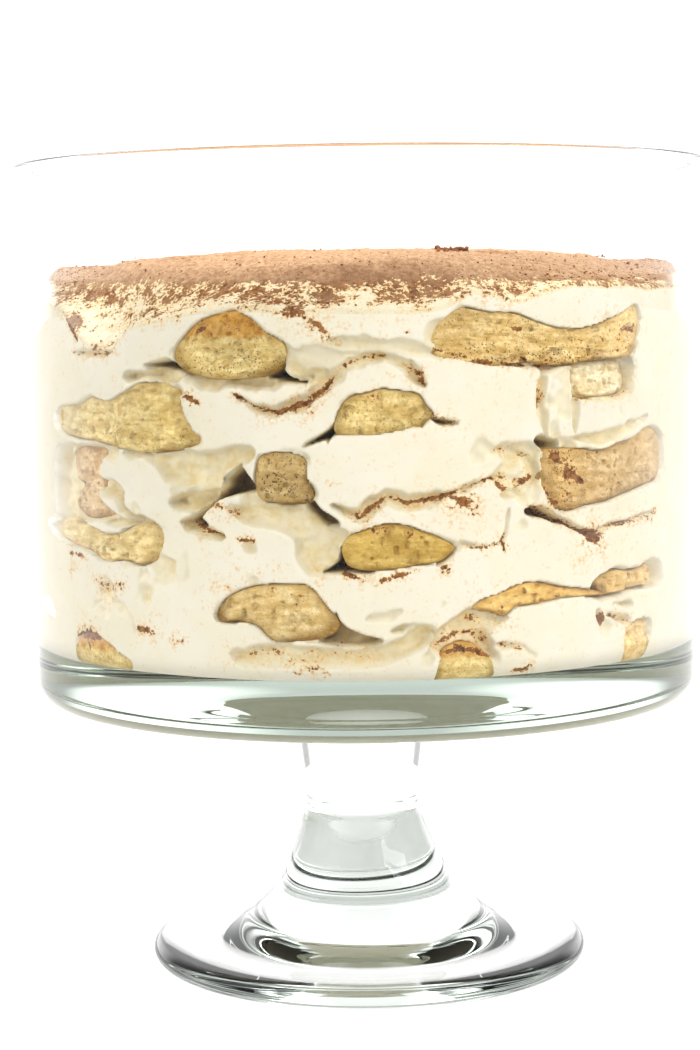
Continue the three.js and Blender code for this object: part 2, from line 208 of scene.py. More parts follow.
FRONT_FINGERS = {
    "finger_1_1": finger([
        (-53, 98), (-53, 105), (-51.8, 108), (-49.5, 109.6), (-47, 109.3), (-45, 107.4), (-42, 105),
        (-39, 102.4), (-42, 98), (-47, 98),
    ], STRAW, crust=1.0),
    "finger_1_2": finger([
        (10.3, 98.4), (10.8, 106.4), (12.2, 109.2), (14.6, 109.8), (17, 108.2), (18.4, 104.8), (18.9, 98.4),
        (14.6, 98),
    ], STRAW, crust=1.0),
    "finger_1_3": finger([
        (44.2, 98.4), (43.9, 108), (46, 110.8), (49.4, 111.6), (51.4, 109.4), (50.2, 104.6), (48.6, 98),
        (46.4, 98),
    ], HONEY, crust=0.2, depth=1.0),
    "finger_2_1": finger([
        (-22.9, 116.6), (-22.2, 120.8), (-20, 123.6), (-17, 125.4), (-14, 126.2), (-9.8, 126.3),
        (-7.8, 124.8), (-6.4, 121.4), (-4.3, 116.6), (-5, 113.4), (-7.6, 111.6), (-13, 110.7), (-15, 112.2),
        (-16.6, 114.8), (-19.6, 116), (-22.2, 115.5),
    ], KHAKI, crust=0.12, open_crumb=0.2),
    "finger_2_2": finger([
        (15.6, 119.2), (17.5, 121.4), (20, 122.6), (22.2, 124.3), (24.6, 125), (27, 124.7), (30, 123.3),
        (33.6, 122.5), (37, 121.4), (40.4, 119.9), (36.6, 119.8), (31, 120.1), (26.5, 119.3), (22.6, 118.6),
        (20.8, 116.5), (18.8, 117.6),
    ], AMBER, crust=0.1, open_crumb=0.1),
    "finger_2_3": finger([
        (38.7, 123), (40.2, 125.2), (43, 126), (46, 125.2), (49.4, 125.6), (51.9, 126.3), (53, 123.6),
        (52.2, 120.9), (48.6, 120.8), (44.8, 120.2), (41.6, 119.6), (39.3, 120.3),
    ], UMBER, depth=1.2, open_crumb=0.2),
    "finger_3_1": finger([
        (-62, 137.5), (-57, 140.7), (-51.5, 140.4), (-47.5, 139), (-44, 137.6), (-40.8, 138.6), (-37, 141),
        (-33, 140.7), (-32.6, 136), (-34.4, 130.8), (-37, 129.7), (-41, 130.6), (-45, 129.8), (-50, 132.4),
        (-57, 134.2),
    ], MUSTARD, crust=0.1, depth=0.8),
    "finger_3_2": finger([
        (-3.6, 136), (-2.6, 139), (-0.2, 140.7), (2.4, 142), (5.4, 141.8), (7.6, 140.5), (10.9, 138),
        (13.1, 135.6), (11.9, 133.1), (10.2, 131.6), (6.9, 130.8), (3.4, 130), (0, 129.8), (-2.5, 131),
        (-3.4, 133.4),
    ], GOLD, crust=0.35, open_crumb=0.15),
    "finger_4_1": finger([
        (-55.5, 144), (-54.6, 147.5), (-53, 150.4), (-55.8, 153), (-56, 159.4), (-51, 161.4), (-45.4, 160.8),
        (-46.4, 157), (-47.4, 153), (-46.6, 150), (-45.6, 146.6), (-44, 143.4), (-47, 141.4), (-52, 141.2),
    ], BLUSH, depth=2.6),
    "finger_4_2": finger([
        (-16.4, 157.6), (-15.6, 160.3), (-13, 161.3), (-10, 160.6), (-8.7, 158.6), (-8.5, 154), (-7.7, 150.4),
        (-8.3, 148), (-11.5, 147.4), (-14.5, 148), (-16.1, 149.6), (-16.6, 153.6),
    ], DRAB, open_crumb=1.6),
    "finger_4_3": finger([
        (27.7, 159.9), (31, 160.5), (35, 160.2), (38.9, 159.4), (42, 160.7), (46, 162.4), (49, 164.3),
        (52, 165), (55, 162.6), (55.6, 157), (54.6, 150.4), (50, 148.6), (44, 146.8), (40, 145.3),
        (36, 144.7), (32.4, 143.6), (30, 144.4), (28.3, 147), (27.2, 151), (27.4, 155.4),
    ], TAN, crust=0.3, depth=0.7),
    "finger_5_1": finger([
        (-59, 169), (-57, 172.2), (-51.5, 173.1), (-47.4, 175.3), (-43.6, 174.3), (-40, 176.6),
        (-36.5, 179.3), (-32, 179.5), (-29, 177.6), (-27.8, 171), (-25.7, 164), (-29, 161.6), (-34, 160.7),
        (-40, 161.2), (-47, 163), (-54, 163.8), (-58, 165.6),
    ], STRAW, crust=0.1),
    "finger_5_2": finger([
        (-4.6, 167.6), (-3.9, 172.4), (-2.2, 175.8), (0.4, 176.9), (2.6, 177.8), (5.6, 177), (8, 176.1),
        (9, 173.2), (10, 171), (8.8, 168.4), (7.6, 166.3), (3.5, 165.9), (-0.5, 165.3), (-3.4, 165),
    ], STRAW, crust=0.05),
    "finger_5_3": finger([
        (33.2, 175.4), (33.4, 182.6), (39, 183.6), (45.8, 183.4), (46.6, 179), (45.6, 174.8), (40, 173.8),
        (34.6, 174),
    ], PALE, depth=3.4, open_crumb=0.0),
    "finger_6_1": finger([
        (-29.8, 187.2), (-27.3, 193), (-24.8, 196.2), (-21.6, 198), (-18.8, 198.2), (-16.8, 196.3),
        (-14.8, 193), (-12.2, 190.2), (-11.8, 185.6), (-14, 182), (-19, 180.7), (-24, 181), (-28, 183),
    ], STRAW, crust=0.9, open_crumb=0.6),
    "finger_6_2": finger([
        (10, 188.4), (10.6, 193), (12.2, 197), (15, 198.7), (18, 197.6), (22.5, 197.1), (26, 195),
        (30, 193.1), (35, 192.9), (40, 194.8), (44, 197.2), (47, 199), (48.3, 195), (47.8, 190),
        (46.6, 185.6), (44, 184.4), (38, 184.1), (31, 183), (27, 183.4), (24, 184), (20, 183.2),
        (16.5, 184.2), (13, 184.4), (11, 186),
    ], HONEY, crust=0.3, open_crumb=0.8),
}

# Cream squeezed flat on the glass over a finger's edge: half width, then its line.
LOBES = [
    (4.6, [(25.5, 201.5), (31, 198.8), (37, 199.0), (42, 203.5)]),
    (2.2, [(-4, 163.6), (2, 163.9), (8, 165.6)]),
    (2.0, [(12, 184.2), (18, 181.6), (26, 180.9)]),
    (2.2, [(-30, 192.5), (-27, 197.5), (-23, 200.5)]),
    (2.0, [(-17, 200.5), (-12.5, 195.5), (-10, 190)]),
]

# Crevices and sunk patches of the cream, outlined: depth, then the places round them.
CREVICES = [
    (15, [
        (-12.2, 190.5), (-11.8, 187.2), (-11.9, 183.9), (-11.5, 182), (-10.5, 180.5), (-8.4, 179.8),
        (-9, 179.2), (-12, 179.9), (-14.5, 180.6), (-15.2, 181.4), (-13.8, 182.4), (-12.7, 184),
        (-12.5, 187.2),
    ]),
    (15, [
        (-35, 184.2), (-32.8, 185.2), (-30.8, 185.9), (-29.4, 185), (-28, 183.8), (-25.8, 182.3),
        (-24, 181.6), (-27.1, 181.7), (-30.1, 182.6), (-32.6, 183.4),
    ]),
    (13, [
        (-9, 163.1), (-6.8, 165.8), (-5.3, 167.4), (-4.3, 169.4), (-3.7, 166.8), (-3.8, 164.5), (-4.6, 163.2),
        (-5.9, 164), (-7.6, 163.3),
    ]),
    (8, [(9.3, 170.3), (10.9, 169.6), (13.7, 168.5), (12.2, 167.8), (10.4, 168.5)]),
    (12, [
        (-18.7, 157.8), (-20.2, 156), (-21.6, 153.7), (-21.8, 151.7), (-23.3, 149.3), (-25.6, 145.4),
        (-28.3, 142.4), (-26.1, 140.7), (-24.1, 141.4), (-25, 143.7), (-22.9, 147.6), (-21, 149.3),
        (-18.4, 150.2), (-16.2, 151),
    ]),
    (9, [
        (-9, 147.5), (-7.9, 148.5), (-6.5, 145.6), (-4.4, 143.3), (-4.1, 141.8), (-5.7, 141.6), (-7.1, 143.7),
        (-8.5, 146),
    ]),
    (13, [
        (-3.6, 136.4), (-4.1, 132.7), (-5.1, 131), (-6.6, 128.9), (-3, 129.2), (1, 129.4), (-0.5, 131),
        (-2.2, 132.7),
    ]),
    (9, [(13.4, 135.8), (12.9, 133.8), (11.7, 131.8), (10.1, 130.8), (11, 133.1), (12.3, 135.2)]),
    (14, [
        (-23.2, 117.5), (-22.7, 119.5), (-21.4, 121.4), (-21, 118.9), (-19.6, 115.8), (-21.5, 115.6),
        (-22.8, 116.2),
    ]),
    (7.5, [
        (-4.8, 118.9), (-3.9, 116.3), (-2.5, 114), (-0.1, 112.2), (2.2, 111.3), (0.9, 109.8), (-2.6, 109.2),
        (-5.4, 109.8), (-7.3, 111.1), (-6, 113.7),
    ]),
    (8, [(25.8, 163.3), (27, 164.4), (28.7, 163.4), (30.6, 162), (30, 160.4), (27.8, 160), (26.6, 161.6)]),
    (10, [
        (24.2, 144.4), (26.5, 145.4), (28.1, 144.4), (30, 142.2), (32, 140.4), (30, 140.4), (27.4, 142.1),
        (25.4, 142.9),
    ]),
    (3.4, [
        (-40.5, 160.8), (-36.1, 162), (-31.1, 161.5), (-24.1, 162), (-17.2, 162.4), (-17, 158),
        (-20.7, 155.3), (-22.2, 150.8), (-25.1, 149.3), (-27.2, 150.8), (-31.1, 152.5), (-33.1, 155.8),
        (-36.1, 158.3), (-39.1, 158.5),
    ]),
    (3.0, [
        (-21, 146.9), (-16.5, 147.7), (-9, 148), (-6, 142.3), (-2.8, 139.8), (-3.7, 135.6), (-4.3, 131.8),
        (-6, 128.5), (-8.6, 128.5), (-10.5, 132.7), (-10.7, 138.1), (-14, 140.6), (-19, 142.7),
    ]),
    (2.8, [
        (-20.5, 108.3), (-15, 110.4), (-7.5, 110), (0.9, 109.2), (3.9, 111), (7.6, 114.9), (9.6, 113.5),
        (8, 108.3), (3.9, 105), (-0.1, 102), (-6.5, 101.2), (-16.5, 101.2), (-20, 104.2),
    ]),
    (1.5, [
        (-11.5, 190), (-7.5, 189.2), (-3, 188.8), (1, 188), (5.9, 187.2), (10, 188.7), (9.6, 185.8),
        (5.9, 186.2), (2, 186.8), (-2, 185), (-5, 181.7), (-8, 179.8), (-10.5, 180.5), (-11.8, 183.7),
    ]),
    (2.0, [
        (19.2, 161.2), (22, 163), (26, 161.8), (27.4, 157.7), (27.4, 152.3), (26.2, 147), (23.5, 146.6),
        (21.6, 149.1), (19.4, 150), (18.8, 154.3), (20.4, 157.5),
    ]),
    (3.6, [
        (9.6, 107), (10, 112.4), (12, 115.7), (15, 119), (18, 118.4), (21.7, 116), (20, 113.9), (18.4, 111.8),
        (19.8, 107.7), (19.4, 101),
    ]),
    (4.5, [(36.2, 122.4), (39, 126.4), (45, 127), (53.5, 127.6), (54, 119.6), (44, 119), (37, 118.9)]),
    (3.5, [
        (-59, 141), (-58.6, 160), (-52, 162.4), (-44.8, 161.8), (-45, 156), (-46.2, 151), (-44.4, 146),
        (-41, 142.4), (-47, 140.4),
    ]),
]

# Grooves where the cream's folds meet: depth, half width, then their line.
HOLLOWS = [
    (4, 2.6, [(-39, 181.2), (-30, 182.0), (-20, 180.8), (-12, 180.2), (-8, 180.8)]),
    (3, 1.6, [(-52, 187.4), (-45, 187.0), (-41.5, 189)]),
    (3.2, 2.0, [
        (-19, 176), (-16, 172.8), (-13, 171.5), (-9, 174), (-6, 178), (-3, 183.6), (0, 186), (3, 186.3),
    ]),
    (2.4, 1.6, [(3, 186), (6.5, 183.4), (8.7, 178.2)]),
    (3, 2.0, [(-11.9, 190), (-11.2, 184.4), (-9, 181.4), (-5.5, 182)]),
    (1.4, 2.4, [(-5, 190.4), (0, 189.2), (4, 189.6), (9.4, 187.2)]),
    (3.5, 1.7, [(10, 187.4), (13.5, 185.4), (17, 184.2), (22, 183), (27, 182.6), (33, 183.6), (46, 184)]),
    (2.6, 1.5, [(27.3, 183), (27.0, 176), (27.4, 170), (28.0, 164.5)]),
    (2.0, 1.3, [(32.8, 183), (33.4, 174), (33.2, 165)]),
    (3.2, 1.2, [(33, 174.6), (40, 173.4), (45.4, 174.8)]),
    (7, 1.4, [(44.6, 184), (45.8, 180), (45.2, 175)]),
    (3, 1.7, [(33, 163.4), (38, 162.6), (44, 164.2), (50, 168)]),
    (2.8, 1.9, [
        (-5, 147.4), (-3, 145.4), (-1, 144), (1, 148), (3, 149.4), (6, 147.4), (10, 148.6), (15, 151),
        (18, 153.4), (21, 154), (24.4, 151),
    ]),
    (3.2, 1.8, [(19.5, 161), (22, 161.2), (25, 158.5), (26.4, 153), (24, 148.8), (20.4, 149)]),
    (2.2, 0.8, [
        (24.4, 146), (27, 144.2), (30, 141.6), (34.6, 137.8), (37, 136.2), (40, 138.6), (45, 139.6),
        (52, 141),
    ]),
    (1.5, 1.3, [(13.5, 136.4), (17, 135.5), (20, 136), (21, 139), (21.5, 145)]),
    (4, 2.2, [(-44, 141.2), (-38, 140.8), (-33.6, 141)]),
    (5, 2.2, [(-47.5, 159), (-47.4, 153), (-44, 150), (-41, 149.4), (-40.4, 145), (-38, 142)]),
    (5, 2.6, [(-30.5, 147.4), (-26, 148.6), (-22, 151)]),
    (4, 1.9, [(-28.6, 142.2), (-25, 140), (-21.6, 138.4)]),
    (2.2, 1.6, [(-33.4, 141), (-33, 134.5), (-35, 130.6)]),
    (1.3, 1.6, [(-47.6, 117.6), (-45, 119.4), (-41.4, 118.6), (-38.4, 114.4), (-38, 111)]),
    (2.2, 1.6, [(3.4, 113.4), (6.6, 115), (9.4, 114.2), (10.4, 111), (8.4, 104), (8, 101)]),
    (1.6, 1.5, [(19, 108.6), (23.6, 108), (25.6, 105), (24, 101.6)]),
    (3, 1.8, [(37.6, 116), (38.6, 110.6)]),
    (3, 1.8, [(39.6, 114.2), (45, 111.6)]),
    (3, 1.3, [(41, 117), (46, 116)]),
    (0.9, 1.4, [(0, 117), (3, 117.4), (5, 119)]),
]

# Cocoa caught between the layers and on the slope above the glass: how much, half width, then its line.
COCOA_LINES = [
    (0.8, 0.7, [(-60, 203), (-55, 198.6), (-50.6, 191)]),
    (0.55, 0.9, [(-52, 187.3), (-45, 187.0), (-41.4, 189), (-40, 192.5)]),
    (0.8, 1.0, [(-40.5, 192), (-38.6, 196), (-36, 197.6), (-29, 197)]),
    (0.75, 1.2, [(-18, 199.5), (-13, 199.2), (-9, 197), (-6.4, 194), (-5, 190.6)]),
    (1.0, 0.8, [(-16, 172.8), (-13, 171.6), (-9, 174), (-6, 178), (-5, 180)]),
    (0.8, 0.5, [(-19.6, 176.6), (-16.5, 173.4)]),
    (0.75, 0.45, [(-5, 180), (-3, 184), (0, 186), (3, 186.6)]),
    (0.85, 0.6, [(6, 184), (8.2, 181.6), (8.8, 178)]),
    (0.9, 0.6, [(-28, 176), (-26.6, 175.4), (-25, 173.8)]),
    (0.75, 0.6, [(10, 188), (14, 186), (17, 184.6), (25, 183), (33, 184)]),
    (0.9, 0.6, [(27.1, 177.4), (27.3, 174), (27, 172)]),
    (0.45, 0.6, [(33.4, 173.6), (40, 173.4), (45.4, 174.6), (46.4, 180)]),
    (0.95, 0.6, [(10, 170.6), (13.2, 168.8)]),
    (0.9, 0.7, [(-2.6, 145), (-1, 143.6), (0.4, 146), (3, 149.2)]),
    (1.0, 0.5, [(3, 149.4), (6, 147.4), (10, 148.6), (15, 151), (18, 153.6), (21, 153.6), (24, 149.6)]),
    (0.95, 1.6, [(12.6, 149), (14.6, 147), (16.4, 144.6)]),
    (0.9, 1.1, [(20, 152), (21, 150)]),
    (0.9, 0.9, [(23, 152.4), (24.4, 152), (26.4, 153.4)]),
    (0.7, 0.7, [(19.6, 161), (22, 161), (25, 159)]),
    (1.0, 0.6, [(24.6, 145.6), (27, 144.2), (30, 141.4), (35, 137.6)]),
    (1.0, 1.7, [(35, 137.4), (37, 136.2), (38.4, 137.6)]),
    (0.95, 0.6, [(38.4, 138), (40, 138.6), (45, 139.4), (50, 140), (52.6, 141.6)]),
    (0.85, 0.5, [(-28.4, 142), (-25, 140.2), (-21.8, 138.6)]),
    (0.9, 0.5, [(-19.4, 138.2), (-16.6, 137.4)]),
    (0.6, 0.9, [(-24.6, 146.6), (-22, 146.8), (-19, 144.6)]),
    (0.85, 0.6, [(-3.4, 129.2), (-1, 128), (2, 127), (4.6, 128.6), (7.6, 129.6)]),
    (0.8, 0.8, [(11, 130.6), (12.2, 129.2)]),
    (0.7, 0.5, [(14.6, 135.6), (17, 135.2), (20, 136), (21, 139)]),
    (0.8, 0.5, [(20.4, 136), (20.8, 133.6)]),
    (0.7, 1.1, [(-37.4, 112.4), (-33, 111)]),
    (0.8, 0.8, [(-31, 109.6), (-28.4, 109.8)]),
    (0.8, 1.1, [(-47, 124.2), (-43.4, 123), (-40, 124.4)]),
    (0.8, 0.8, [(-54.6, 131), (-50, 130.8)]),
    (0.6, 0.7, [(-55, 126), (-52.4, 126.4)]),
    (0.6, 1.6, [(-10.6, 102.4), (-8, 103.4), (-5.6, 102)]),
    (0.35, 3.0, [(-19, 108), (-12, 106), (-5, 108), (1, 106)]),
    (0.75, 0.9, [(-14.6, 108.4), (-13.6, 107.4)]),
    (0.55, 2.2, [(15, 117.4), (18, 116), (20, 113.6)]),
    (0.8, 1.0, [(10.4, 109.6), (13, 112.2), (16, 112.6), (18, 110)]),
    (0.8, 0.7, [(20.4, 119), (19.4, 116.6)]),
    (0.8, 0.7, [(20, 109), (23.4, 107.4)]),
    (0.85, 0.7, [(22, 101.4), (24.4, 101.8), (25, 103.4)]),
    (0.9, 0.8, [(38.6, 114.8), (38.6, 110.2)]),
    (0.8, 0.8, [(40.6, 113.8), (45, 111.6)]),
    (0.8, 0.5, [(-5.2, 153.8), (-5.2, 152.2)]),
    (0.9, 0.4, [(-46.9, 187.8), (-46.6, 187)]),
    (0.9, 0.5, [(-42.6, 191.6), (-41.4, 192)]),
    (0.8, 0.4, [(6, 192.6), (6.4, 192.2)]),
    (1.25, 1.5, [(29.2, 159.2), (30.6, 156.8), (32.8, 153.6), (35, 151)]),
    (0.5, 2.2, [(29, 150), (31.4, 148.4), (33, 146)]),
    (0.42, 2.2, [(33, 189), (40, 190), (46.4, 193.6)]),
    (0.5, 0.9, [(19, 184.8), (28, 184.6), (38, 185.4), (46, 187.4)]),
    (0.42, 2.0, [(-24, 124.4), (-8, 124.4), (-6.4, 120)]),
    (0.85, 0.9, [(-10.6, 122.6), (-9.6, 121.8)]),
    (0.45, 1.8, [(-1, 139.6), (3, 140.6), (7, 139)]),
    (0.45, 1.6, [(0, 175.4), (4, 175.6), (7, 174.4)]),
    (0.6, 0.8, [(28.4, 160), (33, 160), (38.4, 159)]),
    (0.8, 0.8, [(27.8, 150.4), (28.6, 147.4), (30, 145.6)]),
    (1.0, 0.8, [(11.2, 107.4), (13.4, 108.4), (16, 107.6), (18, 106)]),
    (1.0, 1.2, [(-51.6, 108.2), (-49, 108.6), (-46.6, 108)]),
    (0.9, 0.8, [(-25.6, 193.2), (-24, 194.2), (-20.8, 194.4), (-18.6, 193.4)]),
    (0.8, 0.6, [(22, 193.2), (24, 192.6)]),
    (0.8, 0.6, [(44.6, 192.4), (46.4, 191.4)]),
    (0.14, 5.0, [(-4, 196), (2, 195.4), (8, 196)]),
    (0.2, 5.0, [(-58, 205), (-50, 199), (-44, 196)]),
    (0.3, 3.0, [(15, 203), (20, 202.4), (24, 202)]),
]


# ---------------------------------------------------------------- helpers

def rng_for(name):
    """A generator of its own for each piece, so that a change to one leaves the rest."""
    return np.random.default_rng(sum(ord(c) * (i + 1) for i, c in enumerate(name)))


def smoothstep(low, high, x):
    t = np.clip((x - low) / (high - low), 0, 1)
    return t * t * (3 - 2 * t)


def mix(a, b, t):
    return a + (b - a) * t


def wrapped(angle):
    """The same angle between minus and plus half a turn."""
    return (angle + math.pi) % (2 * math.pi) - math.pi


def polar(phi, r, z):
    """Points from angles in radians, radii and heights."""
    return np.stack([r * np.sin(phi), -r * np.cos(phi), np.broadcast_to(z, np.shape(r * phi))], axis=-1)


def _lattice(ix, iy, iz, seed):
    h = (ix * 374761393 + iy * 668265263 + iz * 2147483647 + seed * 1274126177) & 0xFFFFFFFF
    h = ((h ^ (h >> 13)) * 1274126177) & 0xFFFFFFFF
    return ((h ^ (h >> 16)) & 0xFFFF) / 65535.0


def noise(points, size, seed=0):
    """Smooth value noise from 0 to 1, with lumps about `size` across."""
    p = points / size + 1000
    i = np.floor(p).astype(np.int64)
    f = p - i
    f = f * f * (3 - 2 * f)
    total = 0
    for dx in (0, 1):
        for dy in (0, 1):
            for dz in (0, 1):
                weight = (np.where(dx, f[..., 0], 1 - f[..., 0]) * np.where(dy, f[..., 1], 1 - f[..., 1])
                          * np.where(dz, f[..., 2], 1 - f[..., 2]))
                total = total + weight * _lattice(i[..., 0] + dx, i[..., 1] + dy, i[..., 2] + dz, seed)
    return total


def layered_noise(points, size, octaves=3, seed=0):
    total, amount = 0, 0
    for k in range(octaves):
        total = total + noise(points, size / 2 ** k, seed + k) / 2 ** k
        amount += 1 / 2 ** k
    return total / amount


def relief(points, *layers):
    """Unevenness round 0, as a sum of layers of (height, size, octaves, seed)."""
    return sum(height * (layered_noise(points, size, octaves, seed) - 0.5)
               for height, size, octaves, seed in layers)


def wall_distance(phi, z, line, taper=0.0):
    """Distance on the glass from each (phi in radians, z) to a line of (angle, height) points. With a taper,
    places near the line's ends count as farther, which draws a groove along it to a point."""
    steps = [math.hypot(INNER_R * math.radians(a1 - a0), z1 - z0)
             for (a0, z0), (a1, z1) in zip(line, line[1:])]
    total, gone = sum(steps) + 1e-9, 0.0
    best = np.full(np.broadcast(phi, z).shape, 1e9)
    for (a0, z0), (a1, z1), step in zip(line, line[1:], steps):
        # Angles count from the segment's start, so that a line near the back's seam still works.
        s = INNER_R * wrapped(phi - math.radians(a0))
        ex, ey = INNER_R * math.radians(a1 - a0), z1 - z0
        t = np.clip((s * ex + (z - z0) * ey) / (ex * ex + ey * ey + 1e-9), 0, 1)
        away = np.hypot(s - t * ex, z - z0 - t * ey)
        if taper:
            along = (gone + t * step) / total
            away = away / (1 - taper + taper * np.sqrt(np.clip(4 * along * (1 - along), 0, 1)))
        best = np.minimum(best, away)
        gone += step
    return best


def make_object(name, points, faces, material, attributes=None):
    """A smooth-shaded mesh object from points in millimetres. Each face array holds polygons of one size."""
    mesh = bpy.data.meshes.new(name)
    counts = np.concatenate([np.full(len(f), f.shape[1]) for f in faces])
    corners = np.concatenate([f.ravel() for f in faces])
    mesh.vertices.add(len(points))
    mesh.vertices.foreach_set("co", (np.asarray(points) * MM).astype(np.float32).ravel())
    mesh.loops.add(len(corners))
    mesh.loops.foreach_set("vertex_index", corners.astype(np.int32))
    mesh.polygons.add(len(counts))
    mesh.polygons.foreach_set("loop_start", np.concatenate([[0], np.cumsum(counts)[:-1]]).astype(np.int32))
    mesh.polygons.foreach_set("use_smooth", np.ones(len(counts), dtype=bool))
    for key, values in (attributes or {}).items():
        kind = "FLOAT_COLOR" if np.ndim(values) == 2 else "FLOAT"
        layer = mesh.attributes.new(key, kind, "POINT")
        layer.data.foreach_set("color" if kind == "FLOAT_COLOR" else "value",
                               np.asarray(values, np.float32).ravel())
    mesh.update(calc_edges=True)
    mesh.validate()
    obj = bpy.data.objects.new(name, mesh)
    bpy.context.scene.collection.objects.link(obj)
    mesh.materials.append(material)
    return obj


def ringed_surface(name, first, rings, last, material, attributes=None):
    """A closed surface through equal rings (ring, step, xyz), capped by a fan at each end. Values in
    `attributes` run over the rings, and the caps take their nearest ring's mean."""
    count, steps = rings.shape[:2]
    points = np.concatenate([[first], rings.reshape(-1, 3), [last]])
    step = np.arange(steps)
    after = (step + 1) % steps
    quads = []
    for ring in range(count - 1):
        a = 1 + ring * steps
        quads.append(np.stack([a + step, a + after, a + steps + after, a + steps + step], axis=1))
    final = 1 + (count - 1) * steps
    tris = np.concatenate([
        np.stack([np.zeros(steps, int), 1 + after, 1 + step], axis=1),
        np.stack([np.full(steps, len(points) - 1), final + step, final + after], axis=1),
    ])
    spread = {}
    for key, values in (attributes or {}).items():
        flat = values.reshape(count * steps, *values.shape[2:])
        spread[key] = np.concatenate([[values[0].mean(axis=0)], flat, [values[-1].mean(axis=0)]])
    return make_object(name, points, [np.concatenate(quads), tris], material, spread)


# ---------------------------------------------------------------- materials

def new_material(name, **sockets):
    material = bpy.data.materials.new(name)
    material.use_nodes = True
    shader = material.node_tree.nodes["Principled BSDF"]
    for socket, value in sockets.items():
        shader.inputs[socket.replace("_", " ")].default_value = value
    return material, material.node_tree, shader


def add_node(tree, kind, inputs=(), **settings):
    """A node with its settings, and each input set to a value or linked to a socket."""
    made = tree.nodes.new(kind)
    for key, value in settings.items():
        setattr(made, key, value)
    for key, value in dict(inputs).items():
        if isinstance(value, bpy.types.NodeSocket):
            tree.links.new(value, made.inputs[key])
        else:
            made.inputs[key].default_value = value
    return made


def place(tree):
    return add_node(tree, "ShaderNodeTexCoord").outputs["Object"]


def noise_node(tree, size_mm, detail=3.0, roughness=0.55, flat=1.0):
    """Noise with lumps about that many millimetres across, and `flat` times less tall."""
    where = place(tree)
    if flat != 1.0:
        where = add_node(tree, "ShaderNodeVectorMath", {0: where, 1: (1, 1, flat)},
                         operation="MULTIPLY").outputs[0]
    return add_node(tree, "ShaderNodeTexNoise", {
        "Vector": where, "Scale": 1 / (size_mm * MM), "Detail": detail, "Roughness": roughness,
    }).outputs["Fac"]


def remap(tree, value, low, high, to_low=0.0, to_high=1.0):
    return add_node(tree, "ShaderNodeMapRange", {
        "Value": value, "From Min": low, "From Max": high, "To Min": to_low, "To Max": to_high,
    }, interpolation_type="SMOOTHSTEP").outputs["Result"]


def maths(tree, operation, a, b):
    return add_node(tree, "ShaderNodeMath", {0: a, 1: b}, operation=operation).outputs[0]


def mix_colour(tree, factor, a, b, blend="MIX"):
    made = add_node(tree, "ShaderNodeMix", data_type="RGBA", blend_type=blend)
    for index, value in ((0, factor), (6, a), (7, b)):
        if isinstance(value, bpy.types.NodeSocket):
            tree.links.new(value, made.inputs[index])
        else:
            made.inputs[index].default_value = (*value, 1) if index else value
    return made.outputs[2]


def bump(tree, height, strength, distance_mm, below=None):
    inputs = {"Height": height, "Strength": strength, "Distance": distance_mm * MM}
    if below:
        inputs["Normal"] = below
    return add_node(tree, "ShaderNodeBump", inputs).outputs["Normal"]


def attribute(tree, name, output="Fac"):
    return add_node(tree, "ShaderNodeAttribute", attribute_name=name).outputs[output]


def glass_material():
    material, tree, shader = new_material(
        "clear_pressed_glass", Base_Color=(1.0, 1.0, 1.0, 1), Roughness=0.0, IOR=1.5, Transmission_Weight=1.0,
        Specular_Tint=(0.3, 0.3, 0.3, 1))
    waves = noise_node(tree, 38, detail=1.0)
    tree.links.new(bump(tree, waves, 0.02, 0.5), shader.inputs["Normal"])
    # Soda-lime glass looks green only through its thick base and foot.
    tint = add_node(tree, "ShaderNodeVolumeAbsorption", {"Color": (0.85, 0.873, 0.853, 1), "Density": 30.0})
    tree.links.new(tint.outputs["Volume"], tree.nodes["Material Output"].inputs["Volume"])
    return material


def cocoa_colour(tree, tones, size_mm):
    """Cocoa mottled between two tones."""
    return mix_colour(tree, remap(tree, noise_node(tree, size_mm, 4, 0.7), 0.32, 0.68), *tones)


def cocoa_tones(tree):
    """Cocoa from damp to dry, with a painted sheen: its colour is lightened where it is seen at a grazing
    angle."""
    dry_and_lit_share = remap(tree, maths(tree, "ADD", attribute(tree, "dry"), noise_node(tree, 7, 4, 0.65)), 0.7, 1.25)
    powder = mix_colour(tree, dry_and_lit_share, cocoa_colour(tree, DAMP_COCOA, 1.6), cocoa_colour(tree, DRY_LIT_COCOA, 1.3))
    facing = add_node(tree, "ShaderNodeLayerWeight", {"Blend": 0.5}).outputs["Facing"]
    sheen = mix_colour(tree, remap(tree, facing, 0.15, 0.6), FACE_ON, (1.0, 1.0, 1.0))
    return mix_colour(tree, dry_and_lit_share, powder, mix_colour(tree, 1.0, powder, sheen, "MULTIPLY"))


def powdered(tree, under):
    """Cocoa over a colour where its share at a point beats the grain of the powder, with a stain round it."""
    grain = maths(tree, "ADD", maths(tree, "MULTIPLY", noise_node(tree, 0.9, 2, 0.6), 0.6),
                  maths(tree, "MULTIPLY", noise_node(tree, 3.0, 2, 0.5), 0.4))
    margin = maths(tree, "SUBTRACT", attribute(tree, "cocoa"), remap(tree, grain, 0.25, 0.75, 0.14, 1.0))
    covered = remap(tree, margin, -0.05, 0.09)
    stained = mix_colour(tree, remap(tree, margin, -0.42, 0.06, 0.0, 0.7), under, STAIN)
    return mix_colour(tree, covered, stained, cocoa_tones(tree)), covered


